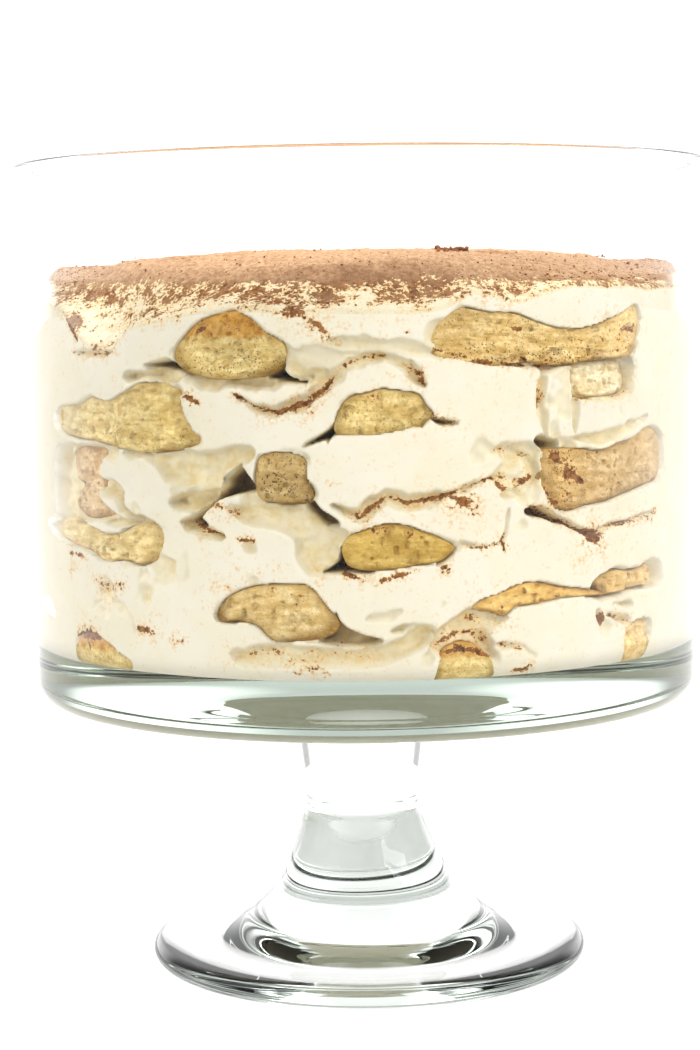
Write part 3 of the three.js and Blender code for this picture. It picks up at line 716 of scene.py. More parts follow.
def cream_material():
    material, tree, shader = new_material("mascarpone_cream", Roughness=0.45, IOR=1.4, Specular_IOR_Level=0.15)
    hollow = attribute(tree, "hollow")
    lumpy = remap(tree, noise_node(tree, 4.5, 4, 0.6), 0.3, 0.7, 0.55, 1.7)
    clouds = maths(tree, "ADD", maths(tree, "MULTIPLY", noise_node(tree, 9), 0.4),
                   maths(tree, "MULTIPLY", noise_node(tree, 26, 2), 0.6))
    ivory = mix_colour(tree, remap(tree, clouds, 0.36, 0.64), *IVORY)
    butter_shaded = mix_colour(tree, remap(tree, noise_node(tree, 4), 0.35, 0.7), *BUTTER_SHADED)
    # Cream that has drawn back from the glass is yellower, with painted shade that deepens with its depth
    # behind the glass, and the crevices by the sponge are soaked and painted dark as shade.
    dry = mix_colour(tree, remap(tree, hollow, 0.0, 0.025), ivory, DRAWN_BACK_SHADED)
    # Painted shade, deeper where the cream lies farther behind the glass.
    shallow = mix_colour(tree, remap(tree, maths(tree, "MULTIPLY", hollow, lumpy), 0.04, 0.26), dry, butter_shaded)
    soaked_shaded = mix_colour(tree, remap(tree, hollow, 0.26, 0.62), shallow, SOAKED_AND_SHADED)
    cream = mix_colour(tree, remap(tree, hollow, 0.6, 0.95), soaked_shaded, CREVICE_SOAK_AND_SHADE)
    dusted, covered = powdered(tree, cream)
    tree.links.new(dusted, shader.inputs["Base Color"])
    tree.links.new(remap(tree, covered, 0.0, 1.0, 0.45, 0.9), shader.inputs["Roughness"])
    soft = bump(tree, noise_node(tree, 6, 3), 0.12, 0.8)
    tree.links.new(bump(tree, maths(tree, "MULTIPLY", covered, noise_node(tree, 0.5, 2)), 0.5, 0.3, soft),
                   shader.inputs["Normal"])
    return material


def sponge_material():
    material, tree, shader = new_material("savoiardi_sponge", Roughness=0.8, IOR=1.4, Specular_IOR_Level=0.08)
    tone = attribute(tree, "tone", "Color")
    crust = attribute(tree, "crust")
    mottle = remap(tree, noise_node(tree, 1.8, 6, 0.75), 0.3, 0.7)
    strata = remap(tree, noise_node(tree, 7, 4, 0.6, flat=3.2), 0.32, 0.68)
    base = mix_colour(tree, 1.0, tone,
                      mix_colour(tree, mottle, (0.84, 0.76, 0.58), (1.08, 1.08, 1.08)), "MULTIPLY")
    base = mix_colour(tree, 1.0, base,
                      mix_colour(tree, strata, (0.80, 0.70, 0.50), (1.08, 1.10, 1.12)), "MULTIPLY")
    uneven = maths(tree, "ADD", maths(tree, "MULTIPLY", crust, 0.8), noise_node(tree, 3.0, 5, 0.7))
    baked = remap(tree, uneven, 0.78, 1.2)
    crusted = mix_colour(tree, baked, base, mix_colour(tree, mottle, CRUST, TOAST))
    # Open pores of two sizes, in patches, painted dark as the shade inside them.
    pores = 0.0
    for size, reach, seed in ((1.25, 0.27, 0.46), (0.75, 0.33, 0.42)):
        cells = add_node(tree, "ShaderNodeTexVoronoi", {"Vector": place(tree), "Scale": 1 / (size * MM)})
        patch = remap(tree, noise_node(tree, 4.0 * size, 2), seed, seed + 0.12)
        hole = maths(tree, "MULTIPLY", remap(tree, cells.outputs["Distance"], reach, 0.55 * reach), patch)
        pores = maths(tree, "MAXIMUM", hole, pores)
    opened = maths(tree, "ADD", maths(tree, "MULTIPLY", attribute(tree, "open"), 0.85), 0.05)
    shown = maths(tree, "MULTIPLY", pores, opened)
    pitted = mix_colour(tree, shown, crusted, PORE_SHADE)
    dusted, _ = powdered(tree, pitted)
    tree.links.new(dusted, shader.inputs["Base Color"])
    rough = bump(tree, noise_node(tree, 1.0, 4, 0.65), 0.4, 0.6)
    tree.links.new(bump(tree, maths(tree, "SUBTRACT", 1.0, shown), 0.8, 0.5, rough), shader.inputs["Normal"])
    return material


def cocoa_material():
    material, tree, shader = new_material("cocoa_powder", Roughness=0.95, Specular_IOR_Level=0.1)
    tree.links.new(cocoa_tones(tree), shader.inputs["Base Color"])
    tree.links.new(bump(tree, noise_node(tree, 0.7, 3, 0.7), 0.6, 0.5), shader.inputs["Normal"])
    return material


def speck_material():
    material, tree, shader = new_material("cocoa_grains", Roughness=0.9, Specular_IOR_Level=0.2)
    tree.links.new(cocoa_colour(tree, GRAIN_COCOA, 2.6), shader.inputs["Base Color"])
    tree.links.new(bump(tree, noise_node(tree, 0.4, 2), 0.4, 0.2), shader.inputs["Normal"])
    return material


# ---------------------------------------------------------------- the bowl

def arc(centre_r, centre_z, radius, start, end, steps, tall=None):
    """Part of a circle, or of an ellipse that is `tall` high."""
    turn = np.radians(np.linspace(start, end, steps + 1))
    return np.stack([centre_r + radius * np.cos(turn), centre_z + (tall or radius) * np.sin(turn)], axis=1)


def wall_radius(z):
    return mix(BOWL_R, RIM_R, smoothstep(FLARE_Z, RIM_Z, z))


def bowl(material):
    lip = RIM_Z - LIP
    flare = np.linspace(FLARE_Z, lip, 16)
    profile = np.concatenate([
        through([(8, 2.6), (36, 2.1), (50, 0.4), (54, 0.0)], 5),
        arc(FOOT_R - FOOT_BEAD, FOOT_BEAD, FOOT_BEAD, -90, 88, 12),
        through([(61.5, 6.6), (50, 7.5), (40.0, 10.6), (33.2, 16), (27.2, 23), (22.6, 32), (20.0, 39),
                 (18.4, 44), (17.4, 46.4), (17.3, 50), (17.5, 56), (18.2, 62), (19.2, 69), (20.8, 75),
                 (24.5, 80), (31, UNDERSIDE_Z - 0.3)], 5),
        [(45, UNDERSIDE_Z + 0.1), (70, UNDERSIDE_Z)],
        arc(BOWL_R - UNDERSIDE_CORNER, UNDERSIDE_Z + UNDERSIDE_TURN, UNDERSIDE_CORNER, -90, 0, 14,
            UNDERSIDE_TURN),
        [(BOWL_R, 120), (BOWL_R, 160)],
        np.stack([wall_radius(flare), flare], axis=1),
        arc(RIM_R - LIP, lip, LIP, 15, 90, 6),
        arc(RIM_R - WALL + LIP, lip, LIP, 90, 165, 6),
        np.stack([wall_radius(flare) - WALL, flare], axis=1)[::-1],
        [(INNER_R, 160), (INNER_R, 120)],
        arc(INNER_R - FLOOR_CORNER, FLOOR_Z + FLOOR_CORNER, FLOOR_CORNER, 0, -90, 8),
        [(60, FLOOR_Z), (20, FLOOR_Z)],
    ])
    phi = np.linspace(0, 2 * math.pi, 192, endpoint=False)
    rings = polar(phi[None, :], profile[:, :1], profile[:, 1:])
    z = profile[:, 1]
    first_half = np.arange(len(z)) < len(z) // 2
    lean = smoothstep(14, 50, z) * smoothstep(UNDERSIDE_Z, UNDERSIDE_Z - 10, z) * first_half
    rings[..., 0] -= STEM_LEAN * lean[:, None]
    piece = ringed_surface("bowl", (0, 0, 2.6), rings, (0, 0, FLOOR_Z), material)
    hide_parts("glass_bowl")
    return piece


# ---------------------------------------------------------------- shape of the contents

def contact_height(phi):
    """Height at which the cream's top leaves the glass."""
    angle, height = np.array(behind_glass(CONTACT)).T
    fine = np.radians(np.linspace(-100, 260, 1441))
    values = np.interp(np.degrees(fine), angle, height)
    kernel = np.hanning(15)
    smooth = np.convolve(np.pad(values, 7, mode="wrap"), kernel / kernel.sum(), mode="valid")
    return np.interp((np.degrees(phi) + 100) % 360 - 100, np.degrees(fine), smooth)


def heap_height(phi, r):
    """The heaped top of the cream, away from the glass."""
    edge = 211.8 + 0.5 * np.sin(3 * phi + 1) + 0.4 * np.sin(5 * phi)
    return mix(MOUND_Z, edge, smoothstep(0.3 * INNER_R, 0.95 * INNER_R, r))


def top_height(phi, r):
    base = mix(heap_height(phi, r), contact_height(phi), smoothstep(INNER_R - 20, INNER_R - 1, r))
    p = polar(phi, r, 0.0)
    return base + relief(p, (1.5, 13, 3, 5), (0.9, 4, 2, 9)) * smoothstep(INNER_R, INNER_R - 6, r)


def inner_radius(z):
    """Inside of the glass, drawn in over the rounded corner of its floor."""
    below = np.clip(FLOOR_Z + FLOOR_CORNER - z, 0, FLOOR_CORNER)
    return INNER_R - FLOOR_CORNER + np.sqrt(FLOOR_CORNER ** 2 - below ** 2)


def inside_finger(spec, phi, z):
    """How far out a place is in a finger's outline: 0 at its middle, 1 on its edge."""
    x = INNER_R * wrapped(phi - math.radians(spec["at"])) / spec["half"]
    y = (z - spec["z"]) / spec["tall"]
    return np.hypot(x, y) / np.interp(np.arctan2(y, x), spec["turn"], spec["reach"], period=2 * math.pi)


def outline_depth(phi, z, outline, ragged):
    """How far inside a closed outline of (angle, height) points each place is, in millimetres, and below 0
    outside."""
    loop = smooth_loop(outline, 4)
    middle = math.radians(loop[:, 0].mean())
    s = INNER_R * wrapped(phi - middle)
    corner = np.stack([INNER_R * (np.radians(loop[:, 0]) - middle), loop[:, 1]], axis=1)
    (s_low, z_low), (s_high, z_high) = corner.min(axis=0) - 3, corner.max(axis=0) + 3
    near = (s > s_low) & (s < s_high) & (z > z_low) & (z < z_high)
    result = np.full(np.shape(s), -9.0)
    x, y = s[near], z[near]
    best, inside = np.full(x.shape, 1e9), np.zeros(x.shape, bool)
    for (x0, y0), (x1, y1) in zip(corner, np.roll(corner, -1, axis=0)):
        ex, ey = x1 - x0, y1 - y0
        t = np.clip(((x - x0) * ex + (y - y0) * ey) / (ex * ex + ey * ey + 1e-9), 0, 1)
        best = np.minimum(best, np.hypot(x - x0 - t * ex, y - y0 - t * ey))
        inside ^= ((y0 > y) != (y1 > y)) & (x < ex * (y - y0) / (ey + 1e-12) + x0)
    result[near] = np.where(inside, best, -best) + ragged[near]
    return result


def back_fingers():
    """The fingers that the photographed side hides, outlined where the CAD's fingers meet the glass."""
    found = {}
    for name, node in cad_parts.items():
        if not name.startswith("finger_") or name in FRONT_FINGERS:
            continue
        low, high = box_mm(name)
        points = np.array([v.co for v in node.data.vertices]) / MM
        outer = points[np.hypot(points[:, 0], points[:, 1]) > INNER_R - 3.5]
        middle = math.atan2(outer[:, 0].mean(), -outer[:, 1].mean())
        spread = wrapped(np.arctan2(outer[:, 0], -outer[:, 1]) - middle)
        half = math.degrees(np.abs(spread).max()) + 0.6
        random = rng_for(name)
        turn = np.linspace(0, 2 * math.pi, 14, endpoint=False) + random.uniform(0, 0.4)
        power = random.uniform(2.0, 3.6)
        rounded = (np.abs(np.cos(turn)) ** power + np.abs(np.sin(turn)) ** power) ** (1 / power)
        reach = random.uniform(0.92, 1.06, 14) / rounded
        angle = math.degrees(middle) + half * reach * np.cos(turn)
        height = 0.5 * (low[2] + high[2]) + 0.5 * (high[2] - low[2]) * reach * np.sin(turn)
        height = np.maximum(height, FLOOR_Z + 1.2)
        tone = [STRAW, STRAW, MUSTARD, HONEY, KHAKI, UMBER, BLUSH][random.integers(7)]
        found[name] = outlined(np.stack([angle, height], axis=1), tone, random.uniform(0.05, 1.0),
                               random.uniform(0.3, 1.2), random.uniform(0.1, 0.9))
    return found


def back_hollows(fingers):
    """Crevices beside the fingers round the back, and broken grooves between the layers there."""
    random = rng_for("hollows")
    hollows, cocoa = [], []
    for spec in fingers.values():
        for side in (-1, 1):
            corner = spec["at"] + side * math.degrees(spec["half"] / INNER_R) * 0.96
            base = spec["z"] - 0.6 * spec["tall"]
            if random.random() < 0.7:
                hollows.append((
                    random.uniform(6, 14), random.uniform(2.2, 3.2),
                    [(corner, base), (corner + side * random.uniform(1.5, 4), base - random.uniform(0, 2))]))
    for level in LEVELS:
        angle = float(BACK_FROM)
        while angle < BACK_TO:
            length = random.uniform(12, 30)
            line, z = [], level + random.uniform(-2.5, 2.5)
            for share in np.linspace(0, 1, 7):
                line.append((angle + share * length, z))
                z = float(np.clip(z + random.uniform(-2.4, 2.4), level - 5, level + 5))
            hollows.append((random.uniform(1.5, 4), random.uniform(1.4, 2.4), line))
            if random.random() < 0.75:
                cocoa.append((random.uniform(0.55, 1.0), random.uniform(0.5, 1.1),
                              line[:random.integers(3, 8)]))
            angle += length + random.uniform(-2, 8)
    for _ in range(34):
        angle, z = random.uniform(BACK_FROM + 2, BACK_TO), random.uniform(104, 200)
        turn, length = random.uniform(-0.7, 0.7), random.uniform(4, 11)
        line = [(angle, z), (angle + length * math.cos(turn), z + length * math.sin(turn))]
        hollows.append((random.uniform(1, 3.5), random.uniform(1.6, 4), line))
        if random.random() < 0.35:
            cocoa.append((random.uniform(0.4, 0.8), random.uniform(0.6, 1.4), line))
    return hollows, cocoa


def cream_depth(phi, z, fingers, hollows, crevices):
    """How far behind the glass the cream's side lies."""
    p = polar(phi, np.full(np.shape(phi), INNER_R), z)
    rough = layered_noise(p, 6, 4, 3) - 0.5
    folds = layered_noise(p * (1, 1, 1.8), 7, 3, 27)
    # Scattered shallow hollows, but none where the wall turns away from the front.
    limb = np.abs((np.degrees(phi) + 180) % 360 - 180)
    depth = 2.4 * smoothstep(0.66, 0.84, layered_noise(p, 10, 3, 21)) * (
        1 - smoothstep(54, 60, limb) * smoothstep(92, 84, limb))
    for deep, half, line in hollows:
        away = wall_distance(phi, z, line, 0.75) + 2.6 * half * rough
        depth = np.maximum(depth, deep * smoothstep(1.2 * half, 0.15 * half, away))
    for deep, outline in crevices:
        within = outline_depth(phi, z, outline, (1.0 if deep > 6 else 3.0) * rough)
        depth = np.maximum(depth, deep * smoothstep(-0.25, 0.8 if deep > 6 else 1.7, within))
    # Sunk cream is lumpy, and only what touches the glass is flat.
    depth = depth * mix(1, 0.35 + 1.3 * folds, smoothstep(11, 5, depth))
    for spec in fingers.values():
        out = inside_finger(spec, phi, z)
        depth = np.maximum(depth, DEEPEST * smoothstep(0.995, 0.95, out))
        # The cream rounds off in places where it meets the sponge.
        rim = np.abs(out - 1.0) * min(spec["half"], 2 * spec["tall"])
        depth = np.maximum(depth, 1.8 * smoothstep(0.45, 0.75, folds) * smoothstep(1.6, 0.1, rim))
    low = smoothstep(FLOOR_Z + 3, FLOOR_Z + 7, z)
    depth = np.where(depth > 10, depth, depth * low)
    for half, line in LOBES:
        away = wall_distance(phi, z, behind_glass(line)) + 1.4 * rough
        depth = np.minimum(depth, DEEPEST * smoothstep(0.85 * half, 1.25 * half, away))
    return depth


def cocoa_share(phi, z, lines):
    """How much cocoa lies at a place on the cream's side: most along the lines, and a stain round them."""
    share = np.zeros(np.shape(phi))
    p = polar(phi, np.full(np.shape(phi), INNER_R), z)
    swell = 0.45 + 1.5 * layered_noise(p, 3.5, 3, 91)
    gaps = smoothstep(0.3, 0.5, layered_noise(p, 5, 2, 93))
    for amount, half, line in lines:
        away = wall_distance(phi, z, line, 0.5) / (1.1 * half * swell)
        share = np.maximum(share, amount * (0.45 + 0.55 * gaps) * np.exp(-away ** 2))
        share = np.maximum(share, 0.42 * amount * np.exp(-(away / 3.2) ** 2))
    return share


# ---------------------------------------------------------------- the contents

def dryness_and_crest_light(height):
    """The cocoa on the cream's slope is damp by the glass and dry higher up, and painted lighter higher up as
    light on the crest.
    """
    return 0.3 + 0.5 * smoothstep(203.5, 209, height)


def cream(material, fingers, hollows, crevices, lines):
    """All the cream as one piece, bedded round the fingers: its underside, side, upper edge and top."""
    # Close columns where the photograph sees the side, and wider ones round the back.
    phi = np.radians(np.concatenate([np.arange(-75, 75, 0.26), np.arange(75, 285, 0.62)]))
    steps = len(phi)
    contact = contact_height(phi)
    share = np.linspace(0, 1, CREAM_ROWS)[:, None]
    z = mix(FLOOR_Z + 0.4, contact - SHOULDER, share)
    angle = np.broadcast_to(phi, z.shape)
    depth = cream_depth(angle, z, fingers, hollows, crevices)
    side = polar(angle, inner_radius(z) + INTO_GLASS - depth, z)
    side_cocoa = cocoa_share(angle, z, lines)

    turn = np.radians(np.array([25, 50, 75, 90]))[:, None]
    inset = SHOULDER * (1 - np.cos(turn)) + np.minimum(depth[-1], 1.4) * (1 - 0.3 * np.sin(turn))
    crest_z = contact - SHOULDER + SHOULDER * np.sin(turn)
    crest = polar(np.broadcast_to(phi, crest_z.shape), INNER_R + INTO_GLASS - inset, crest_z)

    reach = np.concatenate([np.linspace(1, 0.8, 26)[1:], np.linspace(0.8, 0.04, 26)[1:]])[:, None]
    start_r = np.hypot(crest[-1, :, 0], crest[-1, :, 1])
    top_r = start_r * reach
    top_phi = np.broadcast_to(phi, top_r.shape)
    top = polar(top_phi, top_r, top_height(top_phi, top_r))

    # Underneath, it follows the rounded corner and the flat floor of the glass, a little way into it.
    turn = np.radians(np.array([90, 84, 78, 72]))[:, None]
    arc_r = INNER_R - FLOOR_CORNER + (FLOOR_CORNER + INTO_GLASS) * np.cos(turn)
    arc_z = FLOOR_Z + FLOOR_CORNER - (FLOOR_CORNER + INTO_GLASS) * np.sin(turn)
    first_r = np.hypot(side[0, :, 0], side[0, :, 1])
    floor_r = np.concatenate([
        np.full((1, steps), 76.0), np.full((1, steps), 84.0), np.minimum(arc_r, first_r[None])])
    floor_z = np.concatenate([np.full((2, 1), FLOOR_Z - INTO_GLASS), arc_z])
    floor = polar(np.broadcast_to(phi, floor_r.shape), floor_r, floor_z)
    rings = np.concatenate([floor, side, crest, top])

    # The dusting thins out down the slope to the glass, in streaks and patches.
    streaks = layered_noise(top * (1, 1, 3), 9, 3, 31) + 0.5 * (layered_noise(top, 2.5, 2, 33) - 0.5)
    height = top[..., 2]
    top_cocoa = 0.26 + 0.36 * smoothstep(198, 202.5, height) + 0.55 * smoothstep(204.5, 209.5, height)
    top_cocoa = np.clip(top_cocoa + 0.8 * (streaks - 0.5), 0, 1.25)
    crest_cocoa = np.broadcast_to(np.maximum(side_cocoa[-1], 0.8 * top_cocoa[0]), crest_z.shape)
    # Coffee has run down to the floor and stains the cream's underside in patches.
    under = layered_noise(floor, 8, 3, 35)
    cocoa = np.concatenate([0.2 * under, side_cocoa, crest_cocoa, top_cocoa])
    # The hollow attribute is the depth behind the glass, which the cream's material turns into painted shade.
    hollow = np.concatenate([
        np.zeros_like(under), np.minimum(depth / DEEPEST, 1), np.full((len(crest) + len(top), steps), 0.06)])
    # dry: damp cocoa by the glass to dry higher up, lighter there also as painted light.
    dry = np.concatenate([
        np.zeros((len(floor) + len(side), steps)), np.tile(dryness_and_crest_light(contact), (len(crest), 1)),
        dryness_and_crest_light(height)])
    piece = ringed_surface("cream", (0, 0, FLOOR_Z - INTO_GLASS), rings, (0, 0, MOUND_Z), material,
                           {"cocoa": cocoa, "hollow": hollow, "dry": dry})
    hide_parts(*[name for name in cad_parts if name.startswith("cream_layer_")])
    return piece


def sponge(name, spec, material, lines):
    """One finger: a pitted face on the glass with rounded edges, and a body that runs in behind it."""
    front = name in FRONT_FINGERS
    steps = (230 if spec["half"] > 18 else 160) if front else 110
    turn = np.linspace(0, 2 * math.pi, steps, endpoint=False)
    reach = np.interp(turn, spec["turn"], spec["reach"], period=2 * math.pi)
    face = np.concatenate([np.linspace(0.05, 0.9, 30 if front else 12), [0.93, 0.955, 0.975, 0.99, 1.005]])
    out = np.concatenate([face, [1.02, 1.02, 0.98, 0.87]])
    inward = np.concatenate([0.8 * face ** 20, [3, 7, 12, 15]])
    across = out[:, None] * (reach * np.cos(turn))
    up = out[:, None] * (reach * np.sin(turn))
    phi = math.radians(spec["at"]) + spec["half"] * across / INNER_R
    z = np.maximum(spec["z"] + spec["tall"] * up, FLOOR_Z - INTO_GLASS)
    free = smoothstep(FREE_FROM, FREE_AT, z)
    glass_r = inner_radius(z) + INTO_GLASS
    r = glass_r - (spec["depth"] + INTO_GLASS + inward[:, None]) * free
    p = polar(phi, r, z)
    lumps = relief(p, (1.5, 7, 2, 41), (0.9, 2.2, 2, 43))
    pits = 0.9 * smoothstep(0.62, 0.8, noise(p, 1.3, 47))
    r = np.minimum(r + (lumps - pits) * smoothstep(1.0, 0.88, out)[:, None] * free, glass_r)
    rings = polar(phi, r, z)
    # Baked crust along the top of the finger, broken up, and darker sponge round its edge, most at the bottom:
    # partly soaking and partly painted shade.
    crust = spec["crust"] * smoothstep(0.05, 0.8, up + 0.5 * (layered_noise(p, 6, 2, 53) - 0.5))
    shade = 0.84 + 0.34 * layered_noise(p, 10, 2, 59)
    # Painted shade round the edge, stronger toward the bottom.
    edge = smoothstep(0.7, 1.0, out)[:, None] * (0.5 + 0.5 * smoothstep(0.5, -0.7, up))
    edge = edge * (0.3 + 0.7 * smoothstep(0.3, 0.6, layered_noise(p, 9, 2, 57)))
    tone = np.ones((*crust.shape, 4))
    tone[..., :3] = (np.array(spec["tone"]) * shade[..., None]
                     * mix(1.0, np.array(SOAKED_EDGE_SHADE), edge[..., None]))
    middle = polar(math.radians(spec["at"]), inner_radius(spec["z"]) - spec["depth"], spec["z"])
    back = polar(math.radians(spec["at"]), INNER_R - spec["depth"] - 16, spec["z"])
    piece = ringed_surface(name.replace("finger", "sponge_finger"), middle, rings, back, material,
                           {"crust": crust, "tone": tone, "cocoa": cocoa_share(phi, z, lines),
                            "open": np.minimum(
                                spec["open_crumb"] * (0.5 + 0.8 * smoothstep(0.5, -0.4, up)), 1)})
    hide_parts(name)
    return piece


def dusting(material):
    """The deep part of the cocoa, as a thin skin that feathers out at its edge."""
    steps = 420
    phi = np.linspace(-math.pi, math.pi, steps, endpoint=False)
    p = polar(phi, np.full(steps, DUST_R), 0.0)
    edge = DUST_R - 4 + relief(p, (7, 14, 3, 61), (3, 3, 2, 67))
    share = np.concatenate([np.linspace(0.02, 0.75, 34), np.linspace(0.75, 1.0, 26)[1:]])[:, None]
    r = share * edge
    angle = np.broadcast_to(phi, r.shape)
    p = polar(angle, r, 0.0)
    grain = relief(p, (0.7, 2.2, 3, 71), (0.5, 0.9, 1, 73))
    thick = DUST * (0.12 + 0.88 * smoothstep(1.0, 0.86, share)) * (1 + grain * smoothstep(0.02, 0.3, share))
    base = top_height(angle, r)
    upper = polar(angle, r, base + 0.1 + thick - 0.7 * smoothstep(0.955, 1.0, share))
    under = polar(angle, r, base - DUST_UNDER)[::-1]
    dry = 0.8 - 0.35 * smoothstep(0.45, 0.75, layered_noise(p, 26, 3, 79)) * smoothstep(1.0, 0.9, share)
    piece = ringed_surface("cocoa_dusting_skin", (0, 0, MOUND_Z + DUST), np.concatenate([upper, under]),
                           (0, 0, MOUND_Z - DUST_UNDER - 0.4), material,
                           {"dry": np.concatenate([dry, dry[::-1]])})
    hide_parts("cocoa_dusting")
    return piece


def icosahedron():
    """The corners at radius 1 and the faces of the lump that each grain starts from."""
    g = (1 + math.sqrt(5)) / 2
    points = np.array([(-1, g, 0), (1, g, 0), (-1, -g, 0), (1, -g, 0), (0, -1, g), (0, 1, g),
                       (0, -1, -g), (0, 1, -g), (g, 0, -1), (g, 0, 1), (-g, 0, -1), (-g, 0, 1)], float)
    faces = np.array([(0, 11, 5), (0, 5, 1), (0, 1, 7), (0, 7, 10), (0, 10, 11), (1, 5, 9), (5, 11, 4),
                      (11, 10, 2), (10, 7, 6), (7, 1, 8), (3, 9, 4), (3, 4, 2), (3, 2, 6), (3, 6, 8),
                      (3, 8, 9), (4, 9, 5), (2, 4, 11), (6, 2, 10), (8, 6, 7), (9, 8, 1)])
    return points / np.linalg.norm(points[0]), faces


def grains(name, centres, sizes, material):
    """Crumbs of cocoa as one mesh of uneven little lumps."""
    random = rng_for(name)
    points, faces = icosahedron()
    count = len(centres)
    lumps = points[None] * random.uniform(0.6, 1.25, (count, 12, 1)) * random.uniform(0.6, 1.2, (count, 1, 3))
    everything = centres[:, None] + lumps * sizes[:, None, None]
    index = faces[None] + 12 * np.arange(count)[:, None, None]
    piece = make_object(name, everything.reshape(-1, 3), [index.reshape(-1, 3)], material)
    return piece


def wall_grains(material, fingers, hollows, crevices, lines):
    """Crumbs along the cocoa lines, lying on the cream just behind the glass."""
    random = rng_for("wall grains")
    angle, height, size = [], [], []
    for amount, half, line in lines:
        for (a0, z0), (a1, z1) in zip(line, line[1:]):
            length = math.hypot(INNER_R * math.radians(a1 - a0), z1 - z0)
            count = random.poisson(length * (1.0 + 1.6 * half) * amount)
            t = random.random(count)
            angle += list(mix(a0, a1, t) + np.degrees(random.normal(0, 0.9 * half, count) / INNER_R))
            height += list(mix(z0, z1, t) + random.normal(0, 0.9 * half, count))
            size += list(np.minimum(random.lognormal(-1.75, 0.42, count), 0.55))
    phi, z, size = np.radians(angle), np.array(height), np.array(size)
    keep = (z > FLOOR_Z + 1.5) & (z < contact_height(phi) - 1)
    phi, z, size = phi[keep], z[keep], size[keep]
    depth = np.minimum(cream_depth(phi, z, fingers, hollows, crevices), 5)
    for spec in fingers.values():
        depth = np.where(inside_finger(spec, phi, z) < 0.95, spec["depth"] + 0.4, depth)
    centres = polar(phi, inner_radius(z) - depth - 0.5 * size - 0.05, z)
    return grains("cocoa_grains_side", centres, size, material)


def top_grains(material):
    """Lumps of cocoa on the slope by the glass and a few on the crest."""
    random = rng_for("top grains")
    slope, crest, clump = 2600, 150, 34
    phi = random.uniform(-math.pi, math.pi, slope + crest)
    r = np.concatenate([INNER_R - 2 - np.abs(random.normal(0, 9, slope)), 82 * np.sqrt(random.random(crest))])
    size = np.concatenate([
        np.minimum(random.lognormal(-1.7, 0.45, slope), 0.7), random.uniform(0.2, 0.55, crest)])
    # A clump that stands out on the skyline.
    phi = np.concatenate([phi, math.radians(22) + random.normal(0, 0.024, clump)])
    r = np.concatenate([r, 66 + random.normal(0, 1.5, clump)])
    size = np.concatenate([size, random.uniform(0.35, 0.85, clump)])
    lift = np.where(r < DUST_R - 4, DUST, 0.0)
    lift[-clump:] += random.uniform(-0.4, 0.8, clump)
    centres = polar(phi, r, top_height(phi, r) + lift + 0.25 * size)
    return grains("cocoa_grains_top", centres, size, material)


# ---------------------------------------------------------------- the set

def stage():
    """A white floor that glows as painted light behind and under the bowl, filling the shade there, and falls
    off to grey in front, where it would show in the glass.
    """
    material, tree, shader = new_material(
        "glowing_white_floor", Roughness=1.0, Specular_IOR_Level=0.0, Emission_Color=(1, 1, 1, 1))
    along = add_node(tree, "ShaderNodeSeparateXYZ", {0: place(tree)}).outputs["Y"]
    lit = remap(tree, along, -0.75, -0.25)
    tint = mix_colour(tree, remap(tree, noise_node(tree, 220, 2), 0.3, 0.7),
                      (0.36, 0.36, 0.36), (0.38, 0.38, 0.38))
    tree.links.new(tint, shader.inputs["Base Color"])
    # Painted light: the floor glows behind and under the bowl.
    tree.links.new(maths(tree, "MULTIPLY", lit, 0.75), shader.inputs["Emission Strength"])
    reach, z = 12000.0, -0.25
    corners = np.array([(-reach, -reach, z), (reach, -reach, z), (reach, reach, z), (-reach, reach, z)])
    floor = make_object("floor", corners, [np.array([[0, 1, 2, 3]])], material)


def area_light(name, place_m, target_m, size, power):
    data = bpy.data.lights.new(name, "AREA")
    data.shape = "RECTANGLE"
    data.size, data.size_y = size
    data.energy = power
    light = bpy.data.objects.new(name, data)
    bpy.context.scene.collection.objects.link(light)
    light.location = place_m
    light.rotation_euler = (Vector(target_m) - Vector(place_m)).to_track_quat("-Z", "Y").to_euler()


def glow(tree, direction, towards, spread):
    """A soft lobe of light from a direction: 1 in its middle, and 0 beyond `spread`, the cosine at its end."""
    unit = Vector(towards).normalized()
    facing = add_node(tree, "ShaderNodeVectorMath", {0: direction, 1: unit},
                      operation="DOT_PRODUCT").outputs["Value"]
    return remap(tree, facing, spread, 1.0)


# The studio's soft lights: where each comes from, the cosine at which it ends, and how strong it is.
SOFT_LIGHTS = [
    ((0.0, 1.0, 0.25), 0.4, 0.85),  # the overexposed background
    ((-0.5, 0.866, 0.1), 0.91, 1.9),
    ((0.5, 0.866, 0.1), 0.91, 1.9),
    ((0.0, -1.0, -0.1), 0.3, -0.25),  # dimmer where the glass mirrors what is in front
    ((-0.62, -0.66, 0.8), 0.74, 3.0),
    ((-1.0, -0.25, 0.7), 0.74, 2.2),
    ((0.75, -0.55, 0.8), 0.76, 2.0),
    ((0.0, 0.5, 1.0), 0.5, 0.3),
]


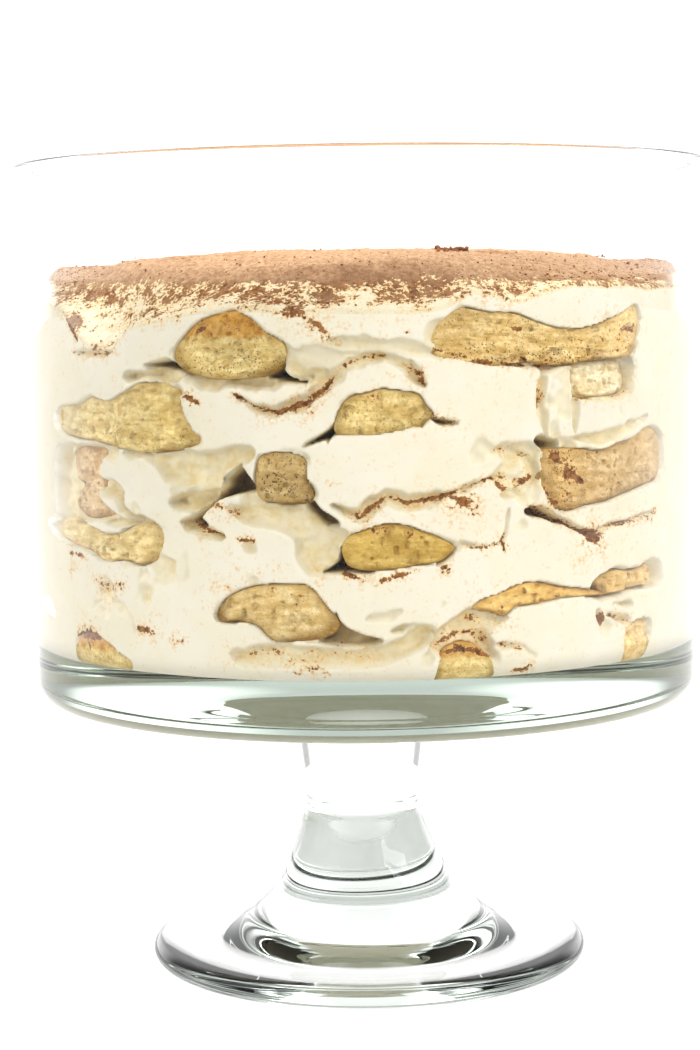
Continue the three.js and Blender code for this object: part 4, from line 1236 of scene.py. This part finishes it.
def lights():
    """A white studio: overexposed behind the bowl, with big soft lights at the front, and darker between them
    so that the glass has edges to show."""
    world = bpy.data.worlds.new("studio")
    bpy.context.scene.world = world
    world.use_nodes = True
    tree = world.node_tree
    direction = add_node(tree, "ShaderNodeTexCoord").outputs["Generated"]
    level = 0.45
    for towards, spread, amount in SOFT_LIGHTS:
        lit = maths(tree, "MULTIPLY", glow(tree, direction, towards, spread), amount)
        level = maths(tree, "ADD", lit, level)
    tree.nodes["Background"].inputs["Color"].default_value = (1, 1, 1, 1)
    tree.links.new(level, tree.nodes["Background"].inputs["Strength"])
    # A tall window to the right, in two panes, that shows on the stem.
    area_light("window_upper", (0.96, -0.78, 1.16), (0, 0, 0.05), (1.0, 0.5), 18)
    area_light("window_lower", (1.09, -0.89, 0.80), (0, 0, 0.05), (1.0, 0.2), 7.2)


def camera():
    """At the photograph's place, about level with the cream's edge."""
    data = bpy.data.cameras.new("camera")
    data.sensor_width = SENSOR
    data.lens = FOCAL_PX / IMAGE_HEIGHT_PX * SENSOR
    data.clip_start = 0.01
    data.clip_end = 50
    made = bpy.data.objects.new("camera", data)
    bpy.context.scene.collection.objects.link(made)
    made.matrix_world = (
        Matrix.Translation((EYE_X * MM, EYE_Y * MM, EYE_Z * MM))
        @ Matrix.Rotation(math.pi / 2 - TILT, 4, "X")
        @ Matrix.Rotation(ROLL, 4, "Z")
    )
    bpy.context.scene.camera = made


def main():
    back = back_fingers()
    extra_hollows, extra_cocoa = back_hollows(back)
    fingers = {**FRONT_FINGERS, **back}
    hollows = [(deep, half, behind_glass(line)) for deep, half, line in HOLLOWS] + extra_hollows
    crevices = [(deep, behind_glass(outline)) for deep, outline in CREVICES]
    lines = [(amount, half, behind_glass(line)) for amount, half, line in COCOA_LINES] + extra_cocoa
    sponge_look = sponge_material()
    speck_look = speck_material()
    pieces = [bowl(glass_material()), cream(cream_material(), fingers, hollows, crevices, lines)]
    pieces.append(dusting(cocoa_material()))
    pieces += [sponge(name, spec, sponge_look, lines) for name, spec in fingers.items()]
    pieces += [wall_grains(speck_look, fingers, hollows, crevices, lines), top_grains(speck_look)]
    for piece in pieces:
        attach(piece, "root")
    stage()
    lights()
    camera()
    bpy.context.scene.view_settings.view_transform = "Standard"


main()
